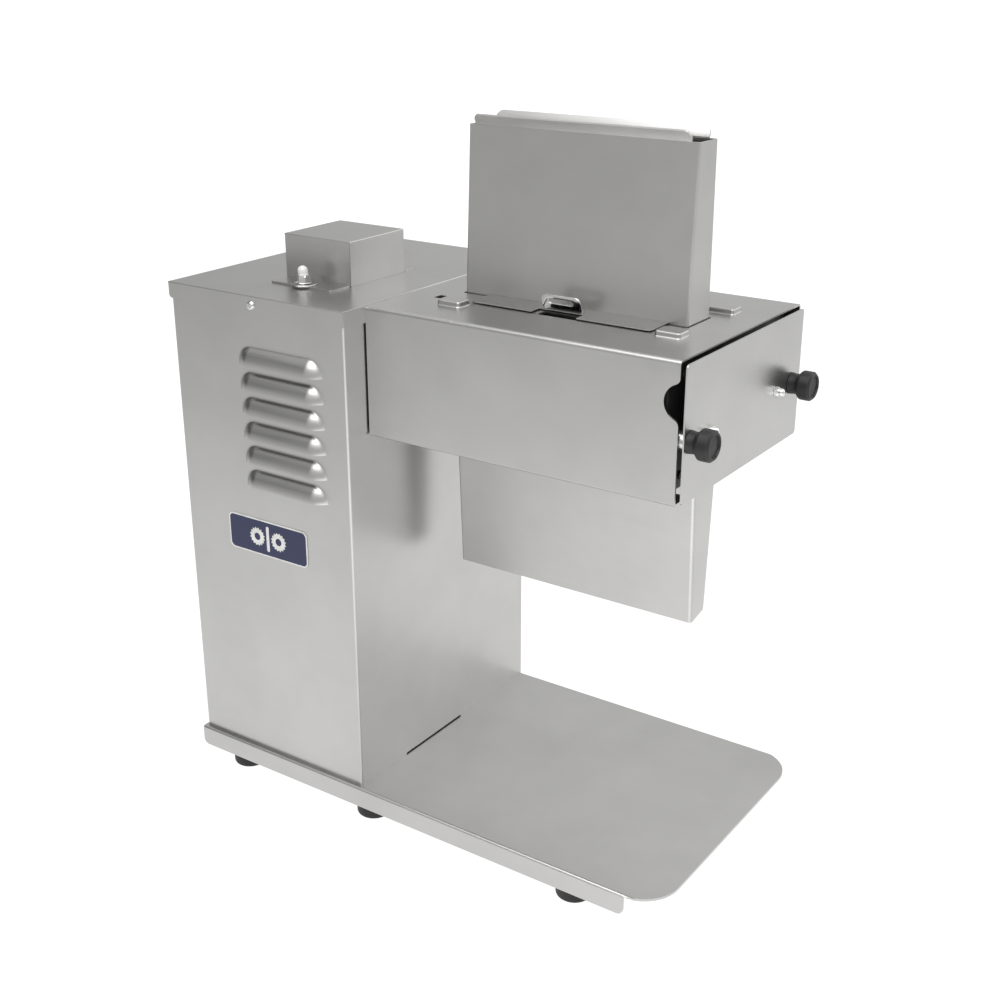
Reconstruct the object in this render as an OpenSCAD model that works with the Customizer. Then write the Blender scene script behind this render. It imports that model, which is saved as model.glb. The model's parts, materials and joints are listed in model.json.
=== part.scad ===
// Bench-top meat tenderizer: a motor column on a tray base, with a roller head on its side.
// Every module is drawn in the bench frame: X runs from the column to the end plate,
// Y from the front to the back and Z up. X = Y = 0 is the column's front left corner, and
// Z = 0 is the top of the base plate. place() then moves it to the part's own origin, the
// middle of the bounding box at floor level.

/* [Base] */
// Length of the base plate, along X
base_len = 458; // [450:1:470]
// Depth of the base plate, along Y
base_depth = 242.5; // [240:0.5:250]
// How far the base plate stands in front of the column
base_ledge = 4.6; // [3:0.1:6]
// Thickness of the base plate
base_t = 2; // [1.5:0.5:3]
// Height of the turned-down front and rear edges of the base plate
skirt_h = 17.5; // [14:0.5:19]
// Radius of the tray's two free corners
tray_r = 32; // [20:1:36]
// Height of the base plate's top above the floor
base_height = 32; // [30:1:36]
// Diameter of a rubber foot
foot_d = 29; // [24:0.5:30]

/* [Column] */
// Width of the column, along X
column_w = 177.3; // [174:0.5:180]
// Depth of the column, along Y
column_d = 237.7; // [234:0.5:238]
// Height of the top of the lid above the base plate
column_h = 400; // [398:1:402]
// Thickness of the sheet of the column, the lid and the head
sheet = 1.5; // [1.2:0.1:1.6]
// Depth of the lid's turned-down edge
lid_edge = 13; // [10:1:15]
// Height of the box on the lid
top_box_h = 35; // [30:1:40]
// Number of louvers on the front
louver_n = 6; // [4:1:6]
// Distance from one louver to the next
louver_pitch = 20.15; // [18:0.05:21]

/* [Head] */
// Height of the rollers' axes above the base plate
roller_z = 349; // [348:0.5:350]
// Distance between the two rollers' axes
roller_gap = 50; // [50:1:50]
// Outer diameter of the blade discs
blade_d = 56; // [53:1:57]
// Thickness of a blade disc
blade_t = 1.2; // [1:0.1:1.4]
// Number of blade discs on each roller
blade_n = 34; // [20:1:34]
// Distance from one blade disc to the next
blade_pitch = 6; // [5.6:0.1:6]
// Length of the head cover, along X
cover_len = 260; // [259:0.2:261]
// Height of the feed chute's walls above the head cover
chute_h = 125; // [110:1:130]
// Height of the discharge chute's lower rim above the base plate
discharge_z = 172.9; // [150:1:190]

/* [Small parts] */
// Diameter of a knob's head
knob_d = 22; // [20:0.5:24]
// Length of a knob
knob_len = 18.4; // [17:0.1:20]

/* [Hidden] */
$fn = 64;

eps = 0.01;
fit = 0.05;             // radial clearance of a running fit

steel = [0.72, 0.72, 0.71];
dark_steel = [0.45, 0.45, 0.46];
black = [0.08, 0.08, 0.08];
nylon = [0.12, 0.12, 0.12];
white = [0.85, 0.85, 0.83];
brass = [0.78, 0.62, 0.30];
paint_blue = [0.10, 0.16, 0.32];
motor_grey = [0.35, 0.38, 0.40];

// Base plate
base_x0 = -sheet;
base_x1 = base_x0 + base_len;
base_y0 = -base_ledge;
base_y1 = base_y0 + base_depth;
skirt_x1 = base_x1 - tray_r + 3;
skirt_end_r = 5;
foot_x = [35.6, 177.3, 374.4];
foot_y = [15, 221];
foot_h = base_height - base_t;
stud_r = 3;
stud_len = 20;

// Column and lid
lid_under = column_h - sheet;
lid_z0 = column_h - lid_edge;
return_w = 14;          // rear return edges that the rear panel is screwed to
corner_slit = 0.4;      // open slit at each corner of the lid's edge
louver_r = 16;
louver_set = 9;       // how far a louver's axis lies behind the sheet's outer face
louver_len = 58;
louver_x = 112.4;
louver_top_z = 345.4;
cable_slot_y = [60, 138.5];
cable_slot_h = 1.2;
panel_screw_x = [8, column_w - 8];
panel_screw_z = [25, 205, 370];
lid_screw_x = 87.7;
lid_screw_z = 392.5;
screw_r = 2;
screw_hole_r = 2.1;
vent_n = 7;             // slots in the rear panel
vent_z = 120;
vent_pitch = 16;
vent_size = [80, 5];

// Badge
badge_x = [46.5, 131];
badge_z = [184.5, 215.5];
badge_r = 5;
badge_t = 0.8;

// Box and switch on the lid
box_x = [65.2, 132];
box_y = [63.5, 130.9];
box_tab_x = [68.7, 131.4];
box_tab_y = [41, 145.7];
switch_x = 100.3;
switch_y = 45.4;
switch_plate_z = column_h + sheet;
ring_r = 10.3;
ring_t = 1.2;
nut_af = 9.6;
nut_h = 4.3;
neck_r = 3;
neck_hole_r = 3.3;
wire_hole_r = 9;
lever_z = switch_plate_z + 3;
lever_tilt = 10;
lever_r = 4.3;
lever_low = 3.6;
lever_top = switch_plate_z + 14.9;
stem_r = 1.4;
pivot_r = 1.5;
pivot_half = 1.8;

// Cable gland on the rear panel
gland_x = 140;
gland_z = 45;
gland_out = 14;
gland_af = 22;
gland_nut_h = 4.5;
gland_flange_h = 5;
gland_thread_r = 7.9;
gland_bore_r = 4.5;

// Middle plane of the head, and the two rollers' axes
head_y = 117.85;
front_axis_y = head_y - roller_gap / 2;
rear_axis_y = head_y + roller_gap / 2;

// Motor, gearbox and drive
motor_x = 88;
motor_y = front_axis_y + 50;
stand_x = [22, 154];
stand_y = [84, 202];
stand_z = 66;
stand_t = 4;
motor_r = 62;
motor_z = [stand_z, 90, 250, 280];
motor_spigot_r = 24;
rotor_room_r = 36;
rotor_r = 35;
gearbox_z0 = 302;
gearbox_h = 88;
capacitor_at = [38, 40];
capacitor_r = 20;
capacitor_h = 95;
wheel_x = [78, 98];
wheel_r = 41.5;
worm_r = 8;
gear_case_x = [66, 110];
gear_case_r = 46;
gear_cover_t = 5;
shaft_r = 10;
drive_shaft_x = [60, 184.5];
dog_w = 6;
dog_len = 9;
dog_half_h = 7;

// Head
cover_x0 = 179.4;
cover_x1 = cover_x0 + cover_len;
cover_y = [24.2, 213.5];
cover_z = [298.9, 399.5];
cover_r = 3;
cover_lip = 20;
flange_x = [column_w, 183.3];
flange_z = [304, lid_z0 - 1];
inner_plate_x = [198, 204];
outer_plate_x = [416.5, 422.5];
block_x = [422.5, 429.3];
block_y = [28, 207.7];
block_z = [303, 394];
block_screw_y = [50, 180];
block_screw_z = [312, 384];
plate_y = [26.2, 209.5];
plate_z = [305, 380];
rod_y = [33.3, 195.7];
rod_z = 343.3;
rod_r = 6.5;
rod_x1 = 442.4;
thread_r = 4;
thread_x1 = 455.2;
blade_x0 = 208.5;
spacer_r = 15;
roller_x = [185.5, 430.2];
gear_x = [186, 196];
gear_teeth = 20;
gear_module = roller_gap / gear_teeth;
bush_r = 14;
comb_bar_y = [54, 62];
comb_bar_z = [322, 334];
comb_tooth_w = 2.6;
comb_tooth_y1 = 96;
comb_tooth_z = [326, 332];

// Chutes
chute_x = [213.6, 403.4];
chute_z = [395.5, 399.5 + chute_h];
chute_front_y = [102.1, 108.3];
chute_rear_y = [135.6, 134.3];
lip_x = [219.7, 397];
lip_h = 8;
lip_out = 4.3;
chute_foot_x = [236.4, 388.4];
chute_foot_y = [76, 161.7];
tab_x = [293, 326.5];
tab_root_y = 87;
tab_h = 13;
tab_lean = 18;
tab_slot = [21, 4];
discharge_x = [204.4, 416.2];
discharge_top_z = 312;
discharge_front_y = [105.9, 99.7];
discharge_rear_y = [128.1, 135.9];
bridges = [[219, 58], [219, 164.7], [394, 70.5], [394, 152.2]];
bridge_size = [20, 15, 4];
cover_slot_x = [296, 331];
cover_slot_y = [75.5, 87];
cover_hole_x = [203.5, 209.5];
cover_hole_y = [75, 84];
notch_x = cover_x1 + 1.6;
notch_z = 371.2;
notch_r = 13;

// End plate and knobs
end_x = [442.6, 443.8];
end_y = [25.3, 210.4];
end_z = [300.2, 397.1];
end_r = 4;
knob_x0 = end_x[1] + 0.15;
knob_x1 = end_x[1] + knob_len;
acorn_y = [61, 169];
acorn_z = 343.5;
acorn_af = 7;
acorn_hex_h = 3.4;
acorn_r = 3.1;
thrust_x = [430.8, end_x[0]];
thrust_y = [52, 178];
thrust_z = [336, 351];
insert_r = 6.5;
insert_len = 13;

// Bounding box and origin
x_min = base_x0;
x_max = knob_x1;
y_min = min(base_y0, louver_set - louver_r);
y_max = column_d + gland_out;
mid_x = (x_min + x_max) / 2;
mid_y = (y_min + y_max) / 2;

module place() {
    translate([-mid_x, -mid_y, base_height]) children();
}

// A block between two corners
module block(low, high) {
    translate(low) cube(high - low);
}

// A round bar along X, Y or Z
module bar_x(x0, x1, y, z, r) {
    translate([x0, y, z]) rotate([0, 90, 0]) cylinder(h = x1 - x0, r = r);
}

module bar_y(y0, y1, x, z, r) {
    translate([x, y0, z]) rotate([-90, 0, 0]) cylinder(h = y1 - y0, r = r);
}

module bar_z(z0, z1, x, y, r) {
    translate([x, y, z0]) cylinder(h = z1 - z0, r = r);
}

// A bar along X with a rectangular section whose four long edges are rounded
module rounded_bar(x, y, z, r) {
    block([x[0], y[0] + r, z[0]], [x[1], y[1] - r, z[1]]);
    block([x[0], y[0], z[0] + r], [x[1], y[1], z[1] - r]);
    for (cy = [y[0] + r, y[1] - r], cz = [z[0] + r, z[1] - r])
        bar_x(x[0], x[1], cy, cz, r);
}

// A flat shape with round ends, centred on the origin
module slot_2d(len, width) {
    square([len - width, width], center = true);
    for (side = [-1, 1]) translate([side * (len - width) / 2, 0]) circle(d = width);
}

// A rectangle with round corners between two corner points
module rounded_rect(low, high, r) {
    translate([low[0] + r, low[1]]) square([high[0] - low[0] - 2 * r, high[1] - low[1]]);
    translate([low[0], low[1] + r]) square([high[0] - low[0], high[1] - low[1] - 2 * r]);
    for (x = [low[0] + r, high[0] - r], y = [low[1] + r, high[1] - r])
        translate([x, y]) circle(r = r);
}

// A flat shape drawn in the YZ plane and given thickness along X
module along_x(x0, x1) {
    translate([x0, 0, 0]) rotate([90, 0, 90]) linear_extrude(height = x1 - x0) children();
}

// A flat shape drawn in the XZ plane and given thickness along Y
module along_y(y0, y1) {
    translate([0, y1, 0]) rotate([90, 0, 0]) linear_extrude(height = y1 - y0) children();
}

// ---------------------------------------------------------------- base

module base_plate() color(steel) place() {
    skirt_y = [base_y0, base_y1 - base_t];
    difference() {
        block([base_x0, base_y0, -base_t], [base_x1, base_y1, 0]);
        for (y = [base_y0, base_y1 - tray_r])
            block([base_x1 - tray_r, y, -base_t - 1], [base_x1 + 1, y + tray_r, 1]);
    }
    for (y = [base_y0 + tray_r, base_y1 - tray_r])
        bar_z(-base_t, 0, base_x1 - tray_r, y, tray_r);
    for (y = skirt_y) {
        block([base_x0, y, -skirt_h + skirt_end_r], [skirt_x1, y + base_t, 0]);
        block([base_x0 + skirt_end_r, y, -skirt_h],
            [skirt_x1 - skirt_end_r, y + base_t, -skirt_h + skirt_end_r]);
        for (x = [base_x0 + skirt_end_r, skirt_x1 - skirt_end_r])
            bar_y(y, y + base_t, x, -skirt_h + skirt_end_r, skirt_end_r);
    }
    block([base_x0, base_y0 + base_t, -skirt_h + skirt_end_r],
        [base_x0 + base_t, base_y1 - base_t, -base_t]);
}

module foot(x, y) color(black) place() translate([x, y, -base_height]) {
    r = foot_d / 2;
    round_r = 3;
    collar_r = r - 1.5;
    collar_h = 11;
    difference() {
        rotate_extrude() {
            square([r - round_r, foot_h]);
            translate([0, round_r]) square([r, foot_h - collar_h - round_r]);
            translate([0, round_r]) square([collar_r, foot_h - round_r]);
            intersection() {
                translate([r - round_r, round_r]) circle(r = round_r);
                square([r, foot_h]);
            }
        }
        translate([0, 0, foot_h - stud_len]) cylinder(h = stud_len + 1, r = stud_r + fit);
    }
}

module foot_front_left() foot(foot_x[0], foot_y[0]);
module foot_front_middle() foot(foot_x[1], foot_y[0]);
module foot_front_right() foot(foot_x[2], foot_y[0]);
module foot_rear_left() foot(foot_x[0], foot_y[1]);
module foot_rear_middle() foot(foot_x[1], foot_y[1]);
module foot_rear_right() foot(foot_x[2], foot_y[1]);

module foot_studs() color(dark_steel) place() {
    for (x = foot_x, y = foot_y) bar_z(-base_t - stud_len + 1, -base_t, x, y, stud_r);
}

// ---------------------------------------------------------------- column

// One louver's capsule, cut level at the mouth
module louver_capsule(z, r) {
    intersection() {
        union() {
            bar_x(louver_x - louver_len / 2, louver_x + louver_len / 2, louver_set, z, r);
            for (side = [-1, 1])
                translate([louver_x + side * louver_len / 2, louver_set, z]) sphere(r = r);
        }
        block([0, -louver_r, z], [column_w, sheet + 0.5, z + louver_r]);
    }
}

module column_shell() color(steel) place() {
    difference() {
        union() {
            difference() {
                block([0, 0, 0], [column_w, column_d - sheet, lid_under]);
                block([sheet, sheet, -1], [column_w - sheet, column_d, lid_under + 1]);
            }
            for (x = [0, column_w - return_w])
                block([x, column_d - 2 * sheet, 0], [x + return_w, column_d - sheet, lid_under]);
            for (i = [0 : louver_n - 1])
                intersection() {
                    louver_capsule(louver_top_z - i * louver_pitch, louver_r);
                    block([0, -louver_r, 0], [column_w, sheet, column_h]);
                }
        }
        for (i = [0 : louver_n - 1])
            louver_capsule(louver_top_z - i * louver_pitch, louver_r - 1.2);
        block([column_w - sheet - 1, cable_slot_y[0], -1],
            [column_w + 1, cable_slot_y[1], cable_slot_h]);
        bar_x(column_w - sheet - 1, column_w + 1, front_axis_y, roller_z, bush_r + 4);
        for (x = panel_screw_x, z = panel_screw_z)
            bar_y(column_d - 2 * sheet - 1, column_d, x, z, screw_hole_r);
        bar_y(-1, sheet + 1, lid_screw_x, lid_screw_z, screw_hole_r);
    }
}

module rear_panel() color(steel) place() {
    difference() {
        block([1, column_d - sheet, 1], [column_w - 1, column_d, lid_z0 - 1]);
        for (x = panel_screw_x, z = panel_screw_z)
            bar_y(column_d - sheet - 1, column_d + 1, x, z, screw_hole_r);
        for (i = [0 : vent_n - 1])
            translate([0, 0, vent_z + i * vent_pitch]) along_y(column_d - sheet - 1, column_d + 1)
                translate([column_w / 2, 0]) slot_2d(vent_size[0], vent_size[1]);
        bar_y(column_d - sheet - 1, column_d + 1, gland_x, gland_z, gland_thread_r + 0.1);
    }
}

// A round-headed screw whose head stands out along -Y or +Y
module screw_y(x, y, z, out, shank) {
    translate([x, y, z]) rotate([out < 0 ? 90 : -90, 0, 0]) {
        cylinder(h = 1.6, r = 3.6);
        translate([0, 0, 1.6 - eps]) cylinder(h = 0.7, r1 = 3.6, r2 = 2.4);
        translate([0, 0, -shank]) cylinder(h = shank + eps, r = screw_r);
    }
}

module rear_panel_screws() color(dark_steel) place() {
    for (x = panel_screw_x, z = panel_screw_z) screw_y(x, column_d, z, 1, 6);
}

module column_lid() color(steel) place() {
    difference() {
        block([-sheet, -sheet, lid_z0], [column_w + sheet, column_d + sheet, column_h]);
        block([0, 0, lid_z0 - 1], [column_w, column_d, lid_under]);
        for (x = [-sheet, column_w], y = [-sheet, column_d])
            block([x - corner_slit, y - corner_slit, lid_z0 - 1],
                [x + sheet + corner_slit, y + sheet + corner_slit, column_h - 2 * sheet]);
        bar_z(lid_under - 1, column_h + 1, switch_x, switch_y, neck_hole_r);
        bar_z(lid_under - 1, column_h + 1, switch_x, (box_y[0] + box_y[1]) / 2, wire_hole_r);
        bar_y(-sheet - 1, 1, lid_screw_x, lid_screw_z, screw_hole_r);
        bar_y(column_d - 1, column_d + sheet + 1, lid_screw_x, lid_screw_z, screw_hole_r);
    }
}

module lid_screws() color(dark_steel) place() {
    screw_y(lid_screw_x, -sheet, lid_screw_z, -1, 6);
    screw_y(lid_screw_x, column_d + sheet, lid_screw_z, 1, 1.4);
}

module badge() color(paint_blue) place() {
    along_y(-badge_t, 0)
        rounded_rect([badge_x[0], badge_z[0]], [badge_x[1], badge_z[1]], badge_r);
}

// ---------------------------------------------------------------- box and switch

module top_box() color(steel) place() {
    difference() {
        union() {
            block([box_x[0], box_y[0], column_h], [box_x[1], box_y[1], column_h + top_box_h]);
            block([box_tab_x[0], box_tab_y[0], column_h], [box_tab_x[1], box_tab_y[1], switch_plate_z]);
        }
        block([box_x[0] + sheet, box_y[0] + sheet, column_h - 1],
            [box_x[1] - sheet, box_y[1] - sheet, column_h + top_box_h - sheet]);
        bar_z(column_h - 1, switch_plate_z + 1, switch_x, switch_y, neck_hole_r);
    }
}

module safety_relay() color(nylon) place() {
    socket_h = 6;
    relay_h = 21;
    step = 4;
    block([box_x[0] + 10, box_y[0] + 7, column_h], [box_x[1] - 10, box_y[1] - 7, column_h + socket_h]);
    block([box_x[0] + 10 + step, box_y[0] + 7 + step, column_h + socket_h],
        [box_x[1] - 10 - step, box_y[1] - 7 - step, column_h + socket_h + relay_h]);
}

module switch_ring() color(steel) place() {
    difference() {
        bar_z(switch_plate_z, switch_plate_z + ring_t, switch_x, switch_y, ring_r);
        bar_z(switch_plate_z - 1, switch_plate_z + ring_t + 1, switch_x, switch_y, neck_r + 0.2);
    }
}

module switch_nut() color(steel) place() translate([switch_x, switch_y, switch_plate_z + ring_t]) {
    difference() {
        cylinder(h = nut_h, d = nut_af / cos(30), $fn = 6);
        translate([0, 0, -1]) cylinder(h = nut_h + 2, r = neck_r + 0.02);
    }
}

module switch_body() color(nylon) place() {
    case_z = lid_under - 24;
    difference() {
        union() {
            block([switch_x - 9, switch_y - 8, case_z], [switch_x + 9, switch_y + 8, lid_under]);
            bar_z(lid_under - 1, switch_plate_z + ring_t + nut_h - 0.6, switch_x, switch_y, neck_r);
        }
        bar_z(lid_under - 2, column_h + 20, switch_x, switch_y, neck_r - 0.6);
    }
    for (x = [-5, 0, 5])
        block([switch_x + x - 0.4, switch_y - 2, case_z - 8], [switch_x + x + 0.4, switch_y + 2, case_z]);
}

module switch_lever() color(black) place()
    translate([switch_x, switch_y, lever_z]) rotate([0, -lever_tilt, 0]) {
        dome_z = lever_top - lever_z - lever_r;
        rotate([90, 0, 0]) cylinder(h = 2 * pivot_half, r = pivot_r, center = true);
        translate([0, 0, -1.5]) cylinder(h = lever_low + 2, r = stem_r);
        translate([0, 0, lever_low]) cylinder(h = dome_z - lever_low, r = lever_r);
        translate([0, 0, dome_z]) intersection() {
            sphere(r = lever_r);
            translate([-lever_r, -lever_r, -eps]) cube(2 * lever_r);
        }
    }

// ---------------------------------------------------------------- inside the column

module cable_gland() color(black) place() {
    difference() {
        union() {
            translate([gland_x, column_d, gland_z]) rotate([-90, 0, 0])
                cylinder(h = gland_flange_h, d = gland_af / cos(30), $fn = 6);
            bar_y(column_d + gland_flange_h - eps, column_d + gland_out, gland_x, gland_z,
                gland_af / 2 - 1);
            bar_y(column_d - 12, column_d + 1, gland_x, gland_z, gland_thread_r);
        }
        bar_y(column_d - 13, column_d + gland_out + 1, gland_x, gland_z, gland_bore_r);
    }
}

module gland_nut() color(black) place() {
    difference() {
        translate([gland_x, column_d - sheet - gland_nut_h, gland_z]) rotate([-90, 0, 0])
            cylinder(h = gland_nut_h, d = gland_af / cos(30), $fn = 6);
        bar_y(column_d - 13, column_d, gland_x, gland_z, gland_thread_r + 0.02);
    }
}

module motor_stand() color(dark_steel) place() {
    foot_w = 22;
    difference() {
        block([stand_x[0], stand_y[0], 0], [stand_x[1], stand_y[1], stand_z]);
        block([stand_x[0] + stand_t, stand_y[0] - 1, stand_t],
            [stand_x[1] - stand_t, stand_y[1] + 1, stand_z - stand_t]);
        bar_z(stand_z - stand_t - 1, stand_z + 1, motor_x, motor_y, motor_spigot_r);
        block([stand_x[0] + foot_w, stand_y[0] - 1, -1],
            [stand_x[1] - foot_w, stand_y[1] + 1, stand_t + 1]);
    }
}

module motor_housing() color(motor_grey) place() {
    difference() {
        union() {
            bar_z(motor_z[0], motor_z[1], motor_x, motor_y, motor_r - 6);
            bar_z(motor_z[1] - eps, motor_z[2], motor_x, motor_y, motor_r);
            bar_z(motor_z[2] - eps, motor_z[3], motor_x, motor_y, motor_r - 6);
            bar_z(motor_z[3] - eps, gearbox_z0, motor_x, motor_y, motor_spigot_r);
        }
        bar_z(motor_z[0] + 10, motor_z[3] - 10, motor_x, motor_y, rotor_room_r);
        bar_z(motor_z[0] - 1, gearbox_z0 + 1, motor_x, motor_y, worm_r + fit);
    }
}

module motor_rotor() color(dark_steel) place() {
    bar_z(motor_z[0] + 1, gearbox_z0 + gearbox_h - 8, motor_x, motor_y, worm_r);
    bar_z(motor_z[0] + 24, motor_z[3] - 24, motor_x, motor_y, rotor_r);
}

// The room inside the gearbox, for the worm wheel and the worm
module gear_room(x0, x1) {
    bar_x(x0, x1, front_axis_y, roller_z, gear_case_r - 3);
    bar_z(gearbox_z0 + 6, gearbox_z0 + gearbox_h - 4, motor_x, motor_y, worm_r + 4);
}

module gearbox_housing() color(motor_grey) place() {
    difference() {
        union() {
            bar_x(gear_case_x[0], gear_case_x[1], front_axis_y, roller_z, gear_case_r);
            bar_z(gearbox_z0, gearbox_z0 + gearbox_h, motor_x, motor_y, worm_r + 10);
            block([motor_x - 18, front_axis_y, roller_z - 30], [motor_x + 18, motor_y, roller_z + 30]);
        }
        gear_room(gear_case_x[0] - 1, gear_case_x[1] - gear_cover_t);
        bar_x(gear_case_x[0], gear_case_x[1] + 1, front_axis_y, roller_z, shaft_r + fit);
        bar_z(gearbox_z0 - 1, gearbox_z0 + 20, motor_x, motor_y, worm_r + fit);
    }
}

module gearbox_cover() color(motor_grey) place() {
    difference() {
        bar_x(gear_case_x[0] - gear_cover_t, gear_case_x[0], front_axis_y, roller_z, gear_case_r);
        bar_x(gear_case_x[0] - gear_cover_t - 1, gear_case_x[0] + 1, front_axis_y, roller_z,
            shaft_r + fit);
    }
}

module worm_wheel() color(brass) place() {
    difference() {
        bar_x(wheel_x[0], wheel_x[1], front_axis_y, roller_z, wheel_r);
        bar_x(wheel_x[0] - 1, wheel_x[1] + 1, front_axis_y, roller_z, shaft_r);
    }
}

module drive_shaft() color(dark_steel) place() {
    bar_x(drive_shaft_x[0], drive_shaft_x[1], front_axis_y, roller_z, shaft_r);
    block([drive_shaft_x[1] - 1, front_axis_y - dog_w / 2, roller_z - dog_half_h],
        [drive_shaft_x[1] + dog_len, front_axis_y + dog_w / 2, roller_z + dog_half_h]);
}

module capacitor() color(white) place() {
    bar_z(0, capacitor_h, capacitor_at[0], capacitor_at[1], capacitor_r);
    bar_z(capacitor_h - eps, capacitor_h + 5, capacitor_at[0], capacitor_at[1], 0.4 * capacitor_r);
}

// ---------------------------------------------------------------- head frame

module head_flange() color(dark_steel) place() {
    difference() {
        block([flange_x[0], plate_y[0] + 1, flange_z[0]], [flange_x[1], plate_y[1] - 1, flange_z[1]]);
        bar_x(flange_x[0] - 1, flange_x[1] + 1, front_axis_y, roller_z, bush_r);
    }
}

module shaft_bushing() color(brass) place() {
    difference() {
        bar_x(flange_x[0] - 5, flange_x[1], front_axis_y, roller_z, bush_r);
        bar_x(flange_x[0] - 6, flange_x[1] + 1, front_axis_y, roller_z, shaft_r + fit);
    }
}

// One of the two plates across the head, with holes for the rods and the given roller holes
module bearing_plate(x, hole_r) {
    difference() {
        rounded_bar(x, plate_y, plate_z, 4);
        for (y = rod_y) bar_x(x[0] - 1, x[1] + 1, y, rod_z, rod_r);
        for (y = [front_axis_y, rear_axis_y]) bar_x(x[0] - 1, x[1] + 1, y, roller_z, hole_r);
    }
}

module inner_bearing_plate() color(steel) place() bearing_plate(inner_plate_x, bush_r);
module outer_bearing_plate() color(steel) place() bearing_plate(outer_plate_x, shaft_r + 2);

module inner_bushings() color(brass) place() {
    for (y = [front_axis_y, rear_axis_y])
        difference() {
            bar_x(inner_plate_x[0], inner_plate_x[1], y, roller_z, bush_r);
            bar_x(inner_plate_x[0] - 1, inner_plate_x[1] + 1, y, roller_z, shaft_r + fit);
        }
}

module outer_bearing_block() color(nylon) place() {
    difference() {
        rounded_bar(block_x, block_y, block_z, 5);
        for (y = [front_axis_y, rear_axis_y])
            bar_x(block_x[0] - 1, block_x[1] + 1, y, roller_z, shaft_r + fit);
        for (y = rod_y) bar_x(block_x[0] - 1, block_x[1] + 1, y, rod_z, rod_r + fit);
    }
}

module block_screws() color(dark_steel) place() {
    for (y = block_screw_y, z = block_screw_z)
        bar_x(block_x[1], block_x[1] + 1.2, y, z, 3.2);
}

module tie_rod(y) color(steel) place() {
    bar_x(flange_x[1], rod_x1, y, rod_z, rod_r);
    bar_x(rod_x1 - 1, thread_x1, y, rod_z, thread_r);
}

module tie_rod_front() tie_rod(rod_y[0]);
module tie_rod_rear() tie_rod(rod_y[1]);

// ---------------------------------------------------------------- rollers and gears

// Half section of a roller: radius across, distance along the axis up
module roller_section(first_blade) {
    blades_x1 = blade_x0 + blade_n * blade_pitch;
    square([shaft_r, roller_x[1] - roller_x[0]]);
    translate([0, blade_x0 - 3 - roller_x[0]]) square([spacer_r, blades_x1 - blade_x0 + 4]);
    for (i = [0 : blade_n - 1])
        translate([0, first_blade - roller_x[0] + i * blade_pitch])
            square([blade_d / 2, blade_t]);
}

module roller(y, first_blade) {
    translate([roller_x[0], y, roller_z]) rotate([0, 90, 0])
        rotate_extrude() roller_section(first_blade);
}

module front_roller() color(steel) place() {
    difference() {
        roller(front_axis_y, blade_x0);
        block([roller_x[0] - 1, front_axis_y - dog_w / 2, roller_z - dog_half_h],
            [drive_shaft_x[1] + dog_len, front_axis_y + dog_w / 2, roller_z + dog_half_h]);
    }
}

module rear_roller() color(steel) place()
    roller(rear_axis_y, blade_x0 + blade_pitch / 2);

// Involute spur gear, drawn with the middle of a tooth at the given angle
function involute(a) = tan(a) * 180 / PI - a;
function flank_angle(r, base_r) =
    90 / gear_teeth - 0.35 + involute(20) - involute(acos(min(1, base_r / r)));
function polar(r, a) = [r * cos(a), r * sin(a)];

module gear_2d(turn) {
    pitch_r = gear_teeth * gear_module / 2;
    base_r = pitch_r * cos(20);
    tip_r = pitch_r + 0.9 * gear_module;
    root_r = pitch_r - 1.2 * gear_module;
    steps = 4;
    flank = [for (i = [0 : steps]) base_r + (tip_r - base_r) * i / steps];
    polygon([for (t = [0 : gear_teeth - 1], side = [-1, 1], i = [0 : steps + 1])
        let (k = side < 0 ? i : steps + 1 - i)
        let (r = k == 0 ? root_r : flank[k - 1])
        let (a = k == 0 ? flank_angle(base_r, base_r) : flank_angle(r, base_r))
        polar(r, turn + t * 360 / gear_teeth + side * a)]);
}

module timing_gear(y, turn) {
    difference() {
        along_x(gear_x[0], gear_x[1]) translate([y, roller_z]) gear_2d(turn);
        bar_x(gear_x[0] - 1, gear_x[1] + 1, y, roller_z, shaft_r);
    }
}

module front_timing_gear() color(dark_steel) place() timing_gear(front_axis_y, 0);
module rear_timing_gear() color(dark_steel) place()
    timing_gear(rear_axis_y, 180 + 180 / gear_teeth);

// A stripper comb: a bar across the head and one finger between each pair of discs
module comb(first_blade) {
    block([inner_plate_x[1], comb_bar_y[0], comb_bar_z[0]],
        [outer_plate_x[0], comb_bar_y[1], comb_bar_z[1]]);
    for (i = [0 : blade_n - 2]) {
        x = first_blade + blade_t / 2 + (i + 0.5) * blade_pitch;
        block([x - comb_tooth_w / 2, comb_bar_y[1] - 1, comb_tooth_z[0]],
            [x + comb_tooth_w / 2, comb_tooth_y1, comb_tooth_z[1]]);
    }
}

module front_comb() color(steel) place() comb(blade_x0);
module rear_comb() color(steel) place()
    translate([0, 2 * head_y, 0]) mirror([0, 1, 0]) comb(blade_x0 + blade_pitch / 2);

// ---------------------------------------------------------------- chutes and covers

// Section of a chute: y at the bottom and top of its front and rear walls, grown inwards
module chute_section(front, rear, z, wall) {
    polygon([[front[0] + wall, z[0]], [front[1] + wall, z[1]],
        [rear[1] - wall, z[1]], [rear[0] - wall, z[0]]]);
}

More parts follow.
